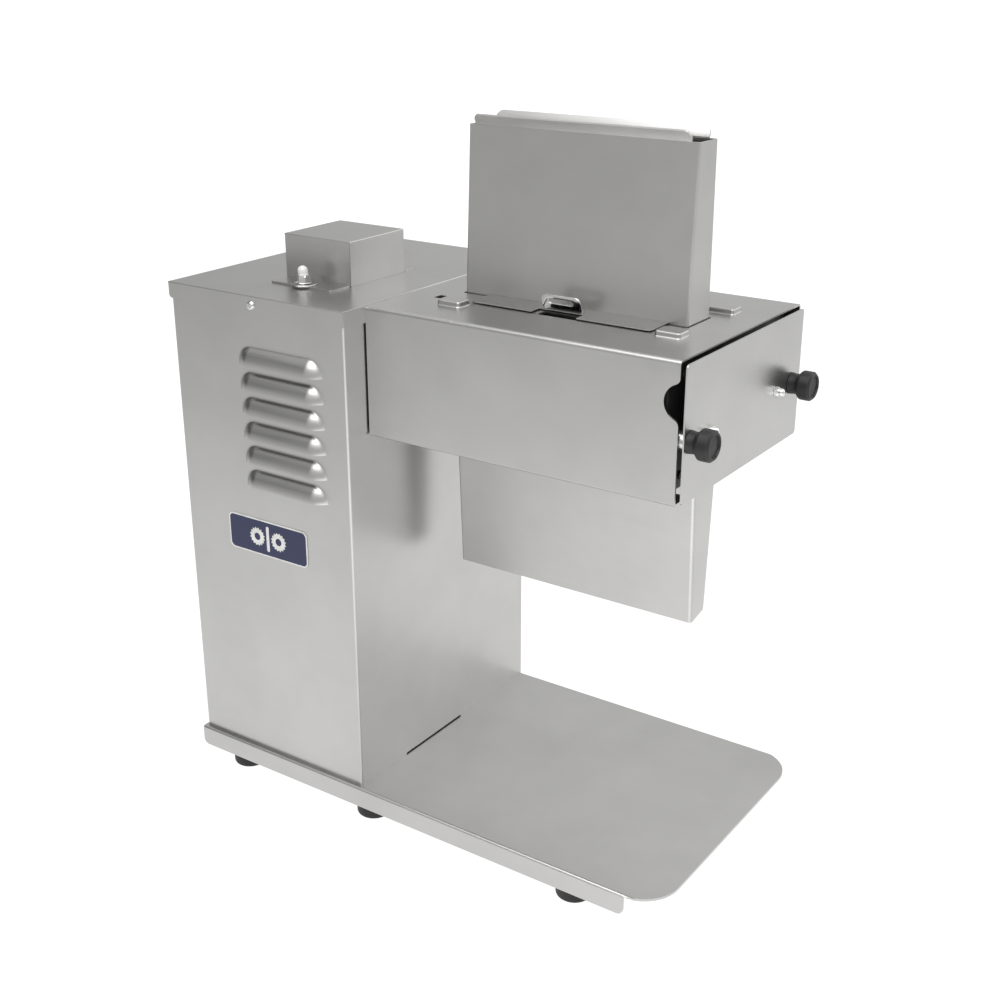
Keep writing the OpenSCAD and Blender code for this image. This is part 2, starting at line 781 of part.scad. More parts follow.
module discharge_chute() color(steel) place() {
    z = [discharge_z, discharge_top_z];
    difference() {
        along_x(discharge_x[0], discharge_x[1])
            chute_section(discharge_front_y, discharge_rear_y, z, 0);
        along_x(discharge_x[0] + sheet, discharge_x[1] - sheet)
            chute_section(discharge_front_y, discharge_rear_y, z + [-1, 1], sheet);
        along_x(discharge_x[0] - 1, discharge_x[1] + 1)
            polygon([[discharge_rear_y[0] - 7, discharge_z - 1],
                [discharge_rear_y[0] + 4, discharge_z + 8],
                [discharge_rear_y[0] + 4, discharge_z - 1]]);
    }
    for (y = [[head_y - 29.8, discharge_front_y[1] + 0.5], [discharge_rear_y[1] - 0.5, head_y + 29.8]])
        block([inner_plate_x[1], y[0], discharge_top_z - sheet],
            [outer_plate_x[0], y[1], discharge_top_z]);
}

// A pressed bridge that stands on the cover's top, open at both ends along X
module bridge(at) {
    top = cover_z[1] + bridge_size[2];
    difference() {
        block([at[0], at[1], cover_z[1] - eps], [at[0] + bridge_size[0], at[1] + bridge_size[1], top]);
        block([at[0] - 1, at[1] + sheet, cover_z[1] - 1],
            [at[0] + bridge_size[0] + 1, at[1] + bridge_size[1] - sheet, top - sheet]);
    }
}

// What is cut out of the cover's top for an opening
module cover_opening(x, y) {
    block([x[0], y[0], cover_z[1] - sheet - 1], [x[1], y[1], cover_z[1] + 1]);
}

module head_cover() color(steel) place() {
    difference() {
        rounded_bar([cover_x0, cover_x1], cover_y, cover_z, cover_r);
        rounded_bar([cover_x0 - 1, cover_x1 + 1], cover_y + [sheet, -sheet],
            cover_z + [sheet, -sheet], cover_r - sheet);
        block([cover_x0 - 1, cover_y[0] + cover_lip, cover_z[0] - 1],
            [cover_x1 + 1, cover_y[1] - cover_lip, cover_z[0] + sheet + 1]);
        cover_opening([chute_x[0] - 1, chute_x[1] + 1], [chute_front_y[0] - 1.9, chute_rear_y[0] + 1.8]);
        cover_opening(cover_slot_x, cover_slot_y);
        cover_opening(cover_hole_x, cover_hole_y);
        bar_y(cover_y[0] - 1, cover_y[0] + sheet + 2, notch_x, notch_z, notch_r);
        bar_y(cover_y[1] - sheet - 2, cover_y[1] + 1, notch_x, notch_z, notch_r);
    }
    for (at = bridges) bridge(at);
}

module feed_chute() color(steel) place() {
    difference() {
        along_x(chute_x[0], chute_x[1])
            chute_section(chute_front_y, chute_rear_y, chute_z, 0);
        along_x(chute_x[0] + sheet, chute_x[1] - sheet)
            chute_section(chute_front_y, chute_rear_y, chute_z + [-1, 1], sheet);
    }
    for (side = [-1, 1]) {
        root = side < 0 ? chute_front_y[1] : chute_rear_y[1] - sheet;
        along_x(lip_x[0], lip_x[1])
            polygon([[root, chute_z[1] - eps], [root + sheet, chute_z[1] - eps],
                [root + sheet + side * lip_out, chute_z[1] + lip_h],
                [root + side * lip_out, chute_z[1] + lip_h]]);
    }
}

module chute_base() color(steel) place() {
    z0 = cover_z[1] + 0.1;
    difference() {
        block([chute_foot_x[0], chute_foot_y[0], z0],
            [chute_foot_x[1], chute_foot_y[1], z0 + sheet]);
        block([chute_foot_x[0] - 1, chute_front_y[0], z0 - 1],
            [chute_foot_x[1] + 1, chute_rear_y[0] + 0.1, z0 + sheet + 1]);
        block([tab_x[0] - 1, chute_foot_y[0] - 1, z0 - 1], [tab_x[1] + 4, tab_root_y, z0 + sheet + 1]);
    }
    translate([0, tab_root_y, z0]) rotate([tab_lean, 0, 0]) difference() {
        along_y(0, sheet)
            polygon([[tab_x[0], 0], [tab_x[1], 0], [tab_x[1] - 1, tab_h - 4],
                [tab_x[1] - 4, tab_h], [tab_x[0] + 4, tab_h], [tab_x[0] + 1, tab_h - 4]]);
        along_y(-1, sheet + 1) translate([(tab_x[0] + tab_x[1]) / 2, tab_h - 5])
            slot_2d(tab_slot[0], tab_slot[1]);
    }
}

// ---------------------------------------------------------------- end plate and knobs

module end_plate() color(steel) place() {
    difference() {
        rounded_bar(end_x, end_y, end_z, end_r);
        for (y = rod_y) bar_x(end_x[0] - 1, end_x[1] + 1, y, rod_z, thread_r + 0.5);
    }
}

module acorn_nuts() color(steel) place() {
    for (y = acorn_y) translate([end_x[1], y, acorn_z]) rotate([0, 90, 0]) {
        cylinder(h = acorn_hex_h, d = acorn_af / cos(30), $fn = 6);
        translate([0, 0, acorn_hex_h - eps]) cylinder(h = 1, r = acorn_r);
        translate([0, 0, acorn_hex_h + 1 - 2 * eps]) intersection() {
            sphere(r = acorn_r);
            translate([-4, -4, 0]) cube(8);
        }
    }
}

module thrust_bar() color(nylon) place() {
    rounded_bar(thrust_x, thrust_y, thrust_z, 3);
}

module knob(y) color(black) place() translate([knob_x0, y, rod_z]) rotate([0, 90, 0]) {
    length = knob_x1 - knob_x0;
    r = knob_d / 2;
    neck_r = 0.74 * r;
    recess = 1.2;
    difference() {
        rotate_extrude() polygon([[0, 0], [neck_r, 0], [neck_r, 6.5], [r - 1.2, 8.5],
            [r, 9.7], [r, length - 1.4], [r - 1.4, length], [r - 3, length],
            [r - 3.4, length - recess], [0, length - recess]]);
        translate([0, 0, -1]) cylinder(h = insert_len + 1, r = insert_r);
    }
}

module knob_front() knob(rod_y[0]);
module knob_rear() knob(rod_y[1]);

module knob_insert(y) color(brass) place() {
    difference() {
        bar_x(knob_x0, knob_x0 + insert_len, y, rod_z, insert_r);
        bar_x(knob_x0 - 1, thread_x1 + 0.5, y, rod_z, thread_r + fit);
    }
}

module knob_insert_front() knob_insert(rod_y[0]);
module knob_insert_rear() knob_insert(rod_y[1]);

base_plate();
foot_front_left();
foot_front_middle();
foot_front_right();
foot_rear_left();
foot_rear_middle();
foot_rear_right();
foot_studs();
column_shell();
rear_panel();
rear_panel_screws();
column_lid();
lid_screws();
badge();
top_box();
safety_relay();
switch_ring();
switch_nut();
switch_body();
switch_lever();
cable_gland();
gland_nut();
motor_stand();
motor_housing();
motor_rotor();
gearbox_housing();
gearbox_cover();
worm_wheel();
drive_shaft();
capacitor();
head_flange();
shaft_bushing();
inner_bearing_plate();
inner_bushings();
outer_bearing_plate();
outer_bearing_block();
block_screws();
tie_rod_front();
tie_rod_rear();
front_roller();
rear_roller();
front_timing_gear();
rear_timing_gear();
front_comb();
rear_comb();
discharge_chute();
head_cover();
feed_chute();
chute_base();
end_plate();
acorn_nuts();
thrust_bar();
knob_front();
knob_rear();
knob_insert_front();
knob_insert_rear();
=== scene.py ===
"""Looks of the bench-top meat tenderizer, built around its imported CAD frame."""

import json
import math

import bmesh
import bpy
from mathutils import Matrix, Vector
from mathutils.geometry import delaunay_2d_cdt


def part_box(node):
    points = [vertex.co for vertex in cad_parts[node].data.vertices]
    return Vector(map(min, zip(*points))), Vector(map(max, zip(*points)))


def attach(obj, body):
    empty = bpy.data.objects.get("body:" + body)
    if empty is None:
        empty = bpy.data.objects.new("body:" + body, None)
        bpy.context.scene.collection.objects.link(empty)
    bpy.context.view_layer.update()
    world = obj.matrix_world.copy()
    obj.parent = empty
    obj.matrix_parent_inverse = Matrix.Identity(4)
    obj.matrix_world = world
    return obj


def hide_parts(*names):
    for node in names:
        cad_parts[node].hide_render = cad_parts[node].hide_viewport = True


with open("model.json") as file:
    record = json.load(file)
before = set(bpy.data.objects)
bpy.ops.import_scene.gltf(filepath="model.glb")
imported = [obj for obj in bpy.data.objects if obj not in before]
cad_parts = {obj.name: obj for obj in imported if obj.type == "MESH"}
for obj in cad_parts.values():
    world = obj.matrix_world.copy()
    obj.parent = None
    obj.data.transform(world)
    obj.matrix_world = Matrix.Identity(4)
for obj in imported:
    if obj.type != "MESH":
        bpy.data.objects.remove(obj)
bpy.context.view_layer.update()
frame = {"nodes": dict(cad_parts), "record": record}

# Shapes are written in millimetres in the bench frame: X runs from the column to the end
# plate, Y from the front to the back and Z up. X = Y = 0 is the column's front left corner,
# and Z = 0 is the top of the base plate, which stands LEDGE in front of the column.
MM = 0.001
SHEET = 1.5
LEDGE = 4.6
PLATE_LOW, PLATE_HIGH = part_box("base_plate")
BENCH = Vector((PLATE_LOW[0] + SHEET * MM, PLATE_LOW[1] + LEDGE * MM, PLATE_HIGH[2]))


def metres(point):
    """A point of the bench frame in the model's frame, in metres."""
    return BENCH + Vector(point) * MM


def span(node):
    """Lowest and highest corner of a CAD node, in bench millimetres."""
    return [tuple((Vector(corner) - BENCH) / MM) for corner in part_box(node)]


# ------------------------------------------------------------------ material helpers

class Shader:
    """A node tree with a Principled BSDF, and short calls to add to it."""

    def __init__(self, name):
        self.material = bpy.data.materials.new(name)
        self.material.use_nodes = True
        self.nodes = self.material.node_tree.nodes
        self.links = self.material.node_tree.links
        self.bsdf = self.nodes["Principled BSDF"]
        coordinates = self.nodes.new("ShaderNodeTexCoord")
        self.place = coordinates.outputs["Object"]

    def plain(self, **values):
        """Sets sockets of the BSDF that are the same all over the surface."""
        for socket, value in values.items():
            self.bsdf.inputs[socket.replace("_", " ")].default_value = value
        return self

    def noise(self, scale, stretch=(1, 1, 1), detail=4.0, roughness=0.6):
        """Noise in object space, at a scale per metre, stretched along the axes."""
        mapping = self.nodes.new("ShaderNodeMapping")
        mapping.inputs["Scale"].default_value = stretch
        self.links.new(self.place, mapping.inputs["Vector"])
        texture = self.nodes.new("ShaderNodeTexNoise")
        texture.inputs["Scale"].default_value = scale
        texture.inputs["Detail"].default_value = detail
        texture.inputs["Roughness"].default_value = roughness
        self.links.new(mapping.outputs["Vector"], texture.inputs["Vector"])
        return texture.outputs["Fac"]

    def ramp(self, factor, low, high, start=0.3, end=0.7):
        """Maps a factor to the values or colours between low and high."""
        node = self.nodes.new("ShaderNodeValToRGB")
        node.color_ramp.elements[0].position = start
        node.color_ramp.elements[1].position = end
        for element, value in zip(node.color_ramp.elements, (low, high)):
            element.color = (*value, 1) if isinstance(value, tuple) else (value,) * 3 + (1,)
        self.links.new(factor, node.inputs["Fac"])
        return node.outputs["Color"]

    def to(self, output, socket):
        self.links.new(output, self.bsdf.inputs[socket])
        return self

    def bump(self, height, strength, distance):
        """Adds relief, on top of any that is already there."""
        node = self.nodes.new("ShaderNodeBump")
        node.inputs["Strength"].default_value = strength
        node.inputs["Distance"].default_value = distance
        self.links.new(height, node.inputs["Height"])
        old = self.bsdf.inputs["Normal"]
        if old.is_linked:
            self.links.new(old.links[0].from_socket, node.inputs["Normal"])
        self.links.new(node.outputs["Normal"], old)
        return self


def brushed_sheet(name, stretch, tone=0.5):
    """Satin stainless sheet with a fine grain along one axis and faint cloudiness."""
    s = Shader(name).plain(Metallic=1.0, Specular_IOR_Level=0.5)
    grain = s.noise(900, stretch, detail=2)
    cloud = s.noise(14, detail=3)
    warm = (tone, tone * 0.992, tone * 0.975)
    s.to(s.ramp(cloud, tuple(c * 0.96 for c in warm), tuple(c * 1.04 for c in warm)), "Base Color")
    s.to(s.ramp(grain, 0.28, 0.35), "Roughness")
    s.bump(grain, 0.02, 0.00002)
    return s.material


def cut_steel(name, tone=0.5, rough=0.25):
    """Turned or milled steel."""
    s = Shader(name).plain(Metallic=1.0)
    grain = s.noise(700, (1, 6, 6), detail=2)
    s.to(s.ramp(grain, (tone * 0.9,) * 3, (tone * 1.08,) * 3), "Base Color")
    s.to(s.ramp(grain, rough - 0.06, rough + 0.08), "Roughness")
    s.bump(grain, 0.1, 0.00005)
    return s.material


def polished(name, tone=0.75):
    """Bright fasteners, with light handling marks."""
    s = Shader(name).plain(Metallic=1.0, Base_Color=(tone, tone, tone, 1))
    s.to(s.ramp(s.noise(300), 0.08, 0.2), "Roughness")
    return s.material


def moulded(name, colour, rough=0.45, grain=0.15):
    """Moulded plastic or rubber with a fine texture."""
    s = Shader(name)
    cloud = s.noise(90, detail=3)
    s.to(s.ramp(cloud, tuple(c * 0.85 for c in colour), tuple(c * 1.15 for c in colour)), "Base Color")
    texture = s.noise(2600, detail=1)
    s.to(s.ramp(cloud, rough - 0.06, rough + 0.08), "Roughness")
    s.bump(texture, grain, 0.00005)
    return s.material


def painted(name, colour, rough=0.35):
    """Hammered machine paint."""
    s = Shader(name)
    cloud = s.noise(180, detail=2)
    s.to(s.ramp(cloud, tuple(c * 0.85 for c in colour), tuple(c * 1.2 for c in colour)), "Base Color")
    s.to(s.ramp(cloud, rough - 0.08, rough + 0.1), "Roughness")
    s.bump(cloud, 0.3, 0.0003)
    return s.material


LOOKS = {
    "sheet_steel": brushed_sheet("sheet_steel", (0.02, 1, 1)),
    "machined_steel": cut_steel("machined_steel"),
    "blade_steel": cut_steel("blade_steel", 0.62, 0.16),
    "gear_steel": cut_steel("gear_steel", 0.32, 0.3),
    "bright_fasteners": polished("bright_fasteners"),
    "badge_blue": moulded("badge_blue", (0.012, 0.017, 0.062), 0.4, 0),
    "black_rubber": moulded("black_rubber", (0.012, 0.012, 0.012), 0.6),
    "black_plastic": moulded("black_plastic", (0.006, 0.006, 0.0065), 0.48),
    "clear_silicone": moulded("clear_silicone", (0.6, 0.6, 0.6), 0.3, 0.02),
    "black_nylon": moulded("black_nylon", (0.012, 0.012, 0.012), 0.5),
    "brass": cut_steel("brass", 0.5, 0.25),
    "motor_grey": painted("motor_grey", (0.08, 0.095, 0.11)),
    "capacitor_white": moulded("capacitor_white", (0.62, 0.62, 0.6), 0.4),
}
SLOT_OF = {p["node"]: p["material_slot"] for p in frame["record"]["subparts"]}


# ------------------------------------------------------------------ stage, light, camera

def smooth_step(nodes, links, value, start, end, before, after):
    """Goes smoothly from before to after as the value goes from start to end."""
    node = nodes.new("ShaderNodeMapRange")
    node.interpolation_type = "SMOOTHSTEP"
    for socket, number in (("From Min", start), ("From Max", end), ("To Min", before), ("To Max", after)):
        node.inputs[socket].default_value = number
    links.new(value, node.inputs["Value"])
    return node.outputs["Result"]


def vector_value(nodes, links, vector, operation, other):
    """The dot product with another vector, or the distance to a point."""
    node = nodes.new("ShaderNodeVectorMath")
    node.operation = operation
    node.inputs[1].default_value = other
    links.new(vector, node.inputs[0])
    return node.outputs["Value"]


def add_up(nodes, links, values):
    """The sum of several node outputs."""
    total = values[0]
    for value in values[1:]:
        node = nodes.new("ShaderNodeMath")
        links.new(total, node.inputs[0])
        links.new(value, node.inputs[1])
        total = node.outputs["Value"]
    return total


def make_floor():
    """A white floor. It stays bright wherever the camera looks. The front faces mirror its far
    front left and the right faces its far right, where it is dimmer; near the front right it
    is brighter, for the corner between the column and the discharge chute."""
    bpy.ops.mesh.primitive_plane_add(size=60)
    floor = bpy.context.object
    floor.name = "floor"
    s = Shader("floor_pale").plain(Base_Color=(0.06, 0.06, 0.06, 1), Roughness=0.9)
    tree = s.nodes, s.links
    to_left = vector_value(*tree, s.place, "DOT_PRODUCT", (-0.6, -0.8, 0))
    to_right = vector_value(*tree, s.place, "DOT_PRODUCT", (0.966, 0.259, 0))
    from_patch = vector_value(*tree, s.place, "DISTANCE", (0.6, -0.82, 0))
    glow = add_up(*tree, [smooth_step(*tree, to_left, 0.3, 1.9, 1.02, 0.52),
                          smooth_step(*tree, to_right, 0.45, 1.8, 0, -0.3),
                          smooth_step(*tree, from_patch, 0.2, 0.92, 0.92, 0)])
    s.to(glow, "Emission Strength")
    s.plain(Emission_Color=(1, 1, 1, 1))
    floor.data.materials.append(s.material)


def make_world():
    """A grey room with a dark corner high on the left, a dimmer left wall, a bright side at the
    back right, and a ceiling that is lighter than its walls."""
    world = bpy.data.worlds.new("studio")
    bpy.context.scene.world = world
    world.use_nodes = True
    tree = world.node_tree.nodes, world.node_tree.links
    background = tree[0]["Background"]
    facing = tree[0].new("ShaderNodeTexCoord").outputs["Generated"]
    dark_side = vector_value(*tree, facing, "DOT_PRODUCT", Vector((-0.8, -0.3, 0.55)).normalized())
    far_left = vector_value(*tree, facing, "DOT_PRODUCT", (-1, 0, 0))
    bright_side = vector_value(*tree, facing, "DOT_PRODUCT", Vector((0.53, 0.7, 0.48)).normalized())
    height = vector_value(*tree, facing, "DOT_PRODUCT", (0, 0, 1))
    strength = add_up(*tree, [smooth_step(*tree, dark_side, 0.74, 0.97, 0.62, 0.16),
                              smooth_step(*tree, far_left, 0.45, 0.75, 0, -0.17),
                              smooth_step(*tree, bright_side, 0.86, 0.97, 0, 0.95),
                              smooth_step(*tree, height, 0.1, 0.9, 0, 0.4)])
    tree[1].new(strength, background.inputs["Strength"])
    background.inputs["Color"].default_value = (1, 1, 1, 1)


def soft_light(name, direction, distance, width, height, power):
    """A large lamp that shines at the middle of the machine."""
    lamp = bpy.data.lights.new(name, "AREA")
    lamp.shape = "RECTANGLE"
    lamp.size = width
    lamp.size_y = height
    lamp.energy = power
    holder = bpy.data.objects.new(name, lamp)
    towards = Vector(direction).normalized()
    holder.location = Vector((0, 0, 0.3)) + towards * distance
    holder.rotation_mode = "QUATERNION"
    holder.rotation_quaternion = towards.to_track_quat("Z", "Y")
    bpy.context.scene.collection.objects.link(holder)


def make_camera():
    """The photograph's point of view."""
    azimuth, elevation = math.radians(34.49), math.radians(21.47)
    back = Vector((math.sin(azimuth) * math.cos(elevation),
                   -math.cos(azimuth) * math.cos(elevation), math.sin(elevation)))
    camera = bpy.data.objects.new("camera", bpy.data.cameras.new("camera"))
    camera.data.lens = 51.04
    camera.data.sensor_width = 36
    camera.data.clip_start = 0.05
    camera.data.clip_end = 200
    camera.location = metres((839.6, -762.8, 648.5))
    camera.rotation_mode = "QUATERNION"
    camera.rotation_quaternion = (-back).to_track_quat("-Z", "Y")
    bpy.context.scene.collection.objects.link(camera)
    bpy.context.scene.camera = camera


make_camera()
make_world()
make_floor()
soft_light("front_softbox", (0.12, -0.42, 0.9), 2.6, 3.2, 2.2, 60)
bpy.context.scene.view_settings.view_transform = "Standard"


# ------------------------------------------------------------------ mesh helpers

def strip(rows, closed=False):
    """Points and quads between rows of equally many points; closed joins each row's ends."""
    points = [p for row in rows for p in row]
    n = len(rows[0])
    faces = []
    for r in range(len(rows) - 1):
        for c in range(n if closed else n - 1):
            a, b = r * n + c, r * n + (c + 1) % n
            faces.append((a, b, b + n, a + n))
    return points, faces


def join(*parts):
    """Several (points, faces) as one."""
    points, faces = [], []
    for part_points, part_faces in parts:
        start = len(points)
        points += part_points
        faces += [tuple(start + i for i in face) for face in part_faces]
    return points, faces


def arc(centre, radius, start, end, steps=6):
    """Points along an arc in a plane, angles in degrees."""
    angles = (math.radians(start + (end - start) * i / steps) for i in range(steps + 1))
    return [(centre[0] + radius * math.cos(a), centre[1] + radius * math.sin(a)) for a in angles]


def rounded_path(corners, radii, steps=5):
    """An open path through corners in a plane, each inner corner rounded to its radius."""
    path = [corners[0]]
    for i, radius in enumerate(radii, 1):
        here = Vector(corners[i])
        before = (Vector(corners[i - 1]) - here).normalized()
        after = (Vector(corners[i + 1]) - here).normalized()
        half = before.angle(after) / 2
        reach = radius / math.tan(half)
        centre = here + (before + after).normalized() * radius / math.sin(half)
        first, last = here + before * reach - centre, here + after * reach - centre
        for k in range(steps + 1):
            path.append(tuple(centre + first.slerp(last, k / steps) * radius))
    path.append(corners[-1])
    return path


def rounded_rectangle(low, high, radius, steps=5):
    """A closed outline, counter-clockwise from the lower left."""
    (x0, y0), (x1, y1), r = low, high, radius
    return (arc((x0 + r, y0 + r), r, 180, 270, steps) + arc((x1 - r, y0 + r), r, 270, 360, steps)
            + arc((x1 - r, y1 - r), r, 0, 90, steps) + arc((x0 + r, y1 - r), r, 90, 180, steps))


def lengths_along(path):
    """Developed length at each point of a path."""
    total, found = 0, [0]
    for a, b in zip(path, path[1:]):
        total += (Vector(b) - Vector(a)).length
        found.append(total)
    return found


def encloses(loop, point):
    """Whether a closed outline goes round a point."""
    inside = False
    for a, b in zip(loop, loop[1:] + loop[:1]):
        if (a[1] > point[1]) != (b[1] > point[1]):
            crossing = a[0] + (point[1] - a[1]) / (b[1] - a[1]) * (b[0] - a[0])
            inside ^= point[0] < crossing
    return inside


def flat_pattern(loops, place, cuts=()):
    """A flat sheet with an outline and holes, cut across at each bend line, then folded:
    place(u, s) says where a point of the flat pattern lies in space."""
    points, edges = [], []
    for loop in loops:
        start = len(points)
        points += [Vector(p) for p in loop]
        edges += [(start + i, start + (i + 1) % len(loop)) for i in range(len(loop))]
    flat, _, triangles, *_ = delaunay_2d_cdt(points, edges, [], 2, 1e-6)
    bm = bmesh.new()
    corners = [bm.verts.new((p[0], p[1], 0)) for p in flat]
    for triangle in triangles:
        middle = sum((flat[i] for i in triangle), Vector((0, 0))) / 3
        if sum(encloses(loop, middle) for loop in loops) % 2:
            bm.faces.new([corners[i] for i in triangle])
    bmesh.ops.dissolve_limit(bm, angle_limit=0.001, verts=bm.verts, edges=bm.edges)
    for cut in cuts:
        bmesh.ops.bisect_plane(bm, geom=bm.verts[:] + bm.edges[:] + bm.faces[:], dist=1e-5,
                               plane_co=(0, cut, 0), plane_no=(0, 1, 0))
    bm.verts.index_update()
    placed = [place(v.co.x, v.co.y) for v in bm.verts]
    faces = [tuple(v.index for v in f.verts) for f in bm.faces]
    bm.free()
    return placed, faces


def folded(loops, path, place):
    """A flat pattern folded along a path: place(u, (a, b)) puts the path's plane in space."""
    marks = lengths_along(path)

    def at(u, s):
        k = max(i for i in range(len(marks) - 1) if s >= marks[i] - 1e-6)
        share = (s - marks[k]) / (marks[k + 1] - marks[k])
        return place(u, Vector(path[k]).lerp(Vector(path[k + 1]), share))

    return flat_pattern(loops, at, marks[1:-1])


def lathe(profile, centre, axis, segments=64):
    """Turns (radius, height) points about an axis through a centre."""
    rows = []
    for radius, height in profile:
        ring = []
        for i in range(segments):
            a = 2 * math.pi * i / segments
            c, s = radius * math.cos(a), radius * math.sin(a)
            offset = {"x": (height, c, s), "y": (s, height, c), "z": (c, s, height)}[axis]
            ring.append(tuple(centre[k] + offset[k] for k in range(3)))
        rows.append(ring)
    points, faces = strip(rows, closed=True)
    n = len(points)
    if profile[0][0] > 0:
        faces.append(tuple(range(segments)))
    if profile[-1][0] > 0:
        faces.append(tuple(range(n - segments, n)))
    return points, faces


def apply_modifiers(obj):
    """Puts the evaluated mesh in place of the object's mesh and its modifiers."""
    graph = bpy.context.evaluated_depsgraph_get()
    mesh = bpy.data.meshes.new_from_object(obj.evaluated_get(graph))
    old = obj.data
    obj.modifiers.clear()
    obj.data = mesh
    bpy.data.meshes.remove(old)


def piece(name, shape, body, slot, replaces=(), thick=0, inside=None, edge=0, smooth=35):
    """A piece from (points, faces): sheet metal of the given thickness, laid on the side of
    the inside point, or a closed solid, with its sharp edges broken by a small bevel."""
    points, faces = shape
    mesh = bpy.data.meshes.new(name)
    mesh.from_pydata([metres(p) for p in points], [], faces)
    bm = bmesh.new()
    bm.from_mesh(mesh)
    bmesh.ops.remove_doubles(bm, verts=bm.verts, dist=0.004 * MM)
    bmesh.ops.recalc_face_normals(bm, faces=bm.faces)
    if inside is not None:
        middle = metres(inside)
        outward = sum(f.calc_area() * f.normal.dot(f.calc_center_median() - middle) for f in bm.faces)
        if outward < 0:
            bmesh.ops.reverse_faces(bm, faces=bm.faces)
    bm.to_mesh(mesh)
    bm.free()
    obj = bpy.data.objects.new(name, mesh)
    bpy.context.scene.collection.objects.link(obj)
    if thick:
        solid = obj.modifiers.new("sheet", "SOLIDIFY")
        solid.thickness = thick * MM
        solid.offset = -1
        solid.use_even_offset = True
    if edge:
        bevel = obj.modifiers.new("edge", "BEVEL")
        bevel.width = edge * MM
        bevel.segments = 2
        bevel.limit_method = "ANGLE"
        bevel.angle_limit = math.radians(50)
    if obj.modifiers:
        apply_modifiers(obj)
    obj.data.shade_smooth()
    obj.data.set_sharp_from_angle(angle=math.radians(smooth))
    weighted = obj.modifiers.new("normals", "WEIGHTED_NORMAL")
    weighted.keep_sharp = True
    obj.data.materials.append(LOOKS[slot])
    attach(obj, body)
    if replaces:
        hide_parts(*replaces)
    return obj


# ------------------------------------------------------------------ column

_, (COLUMN_X1, COLUMN_Y1, COLUMN_Z1) = span("column_shell")
RETURN = 13.5

# A louver's hood is part of a rod with round ends, LOUVER_HALF long to each side of LOUVER_X,
# whose axis lies LOUVER_SET behind the sheet at the level of the mouth. The top mouth is at
# LOUVER_TOP. Rows of the column's grid lie at the rises above each mouth.
LOUVERS = 6
LOUVER_PITCH = 20.15
LOUVER_TOP = 345.4
LOUVER_X = 112.4
LOUVER_HALF = 29
LOUVER_R = 16
LOUVER_SET = 9
LOUVER_FILLET = 0.7
LOUVER_RISES = (0.8, 2, 3.5, 5, 6.5, 8, 9.3, 10.5, 11.5, 12.3, 13, 13.6, 14.2, 15, 16.5)

# The slit at the foot of the right wall
SLIT_Y = (60, 138.5)
SLIT_H = 1.2


def louver_depth(x, rise):
    """How far a louver's hood stands in front of the sheet, a rise above its mouth."""
    beyond = max(0, abs(x - LOUVER_X) - LOUVER_HALF)
    bulge = LOUVER_R ** 2 - rise ** 2 - beyond ** 2
    depth = math.sqrt(max(0, bulge)) - LOUVER_SET
    soft = 0.5 * (depth + math.sqrt(depth ** 2 + LOUVER_FILLET ** 2))
    return soft if soft > 0.04 else 0


def column():
    """The folded shell: two sides and a front with louvers, one grid of rows and columns."""
    reach = LOUVER_HALF + LOUVER_R
    ends = [reach - 0.8 * i for i in range(21)]
    across = ([LOUVER_X - e for e in ends] + [LOUVER_X + 12 * i for i in (-1, 0, 1)]
              + [LOUVER_X + e for e in reversed(ends)])
    r = 2
    front = arc((r, r), r, 180, 270) + [(x, 0) for x in across] + arc((COLUMN_X1 - r, r), r, 270, 360)
    path = ([(RETURN, COLUMN_Y1), (0, COLUMN_Y1)] + front
            + [(COLUMN_X1, y) for y in SLIT_Y] + [(COLUMN_X1, COLUMN_Y1), (COLUMN_X1 - RETURN, COLUMN_Y1)])
    levels = [(0, None), (SLIT_H, None)]
    for i in reversed(range(LOUVERS)):
        mouth = LOUVER_TOP - i * LOUVER_PITCH
        levels += [(mouth, None), (mouth, 0)]
        levels += [(mouth + rise, rise) for rise in LOUVER_RISES]
    levels += [(COLUMN_Z1, None)]
    rows = []
    for z, rise in levels:
        on_hood = [rise is not None and y == 0 for _, y in path]
        rows.append([(x, -louver_depth(x, rise) if hood else y, z)
                     for (x, y), hood in zip(path, on_hood)])
    points, faces = strip(rows)
    slit = len(path) - 4
    kept = []
    for face in faces:
        row, place = divmod(face[0], len(path))
        mouth = levels[row][0] == levels[row + 1][0]
        if mouth or (row == 0 and place == slit):
            continue
        kept.append(face)
    piece("column", (points, kept), "chassis", "sheet_steel", ["column_shell"], thick=1.2,
          inside=(COLUMN_X1 / 2, COLUMN_Y1 / 2, COLUMN_Z1 / 2), smooth=30)


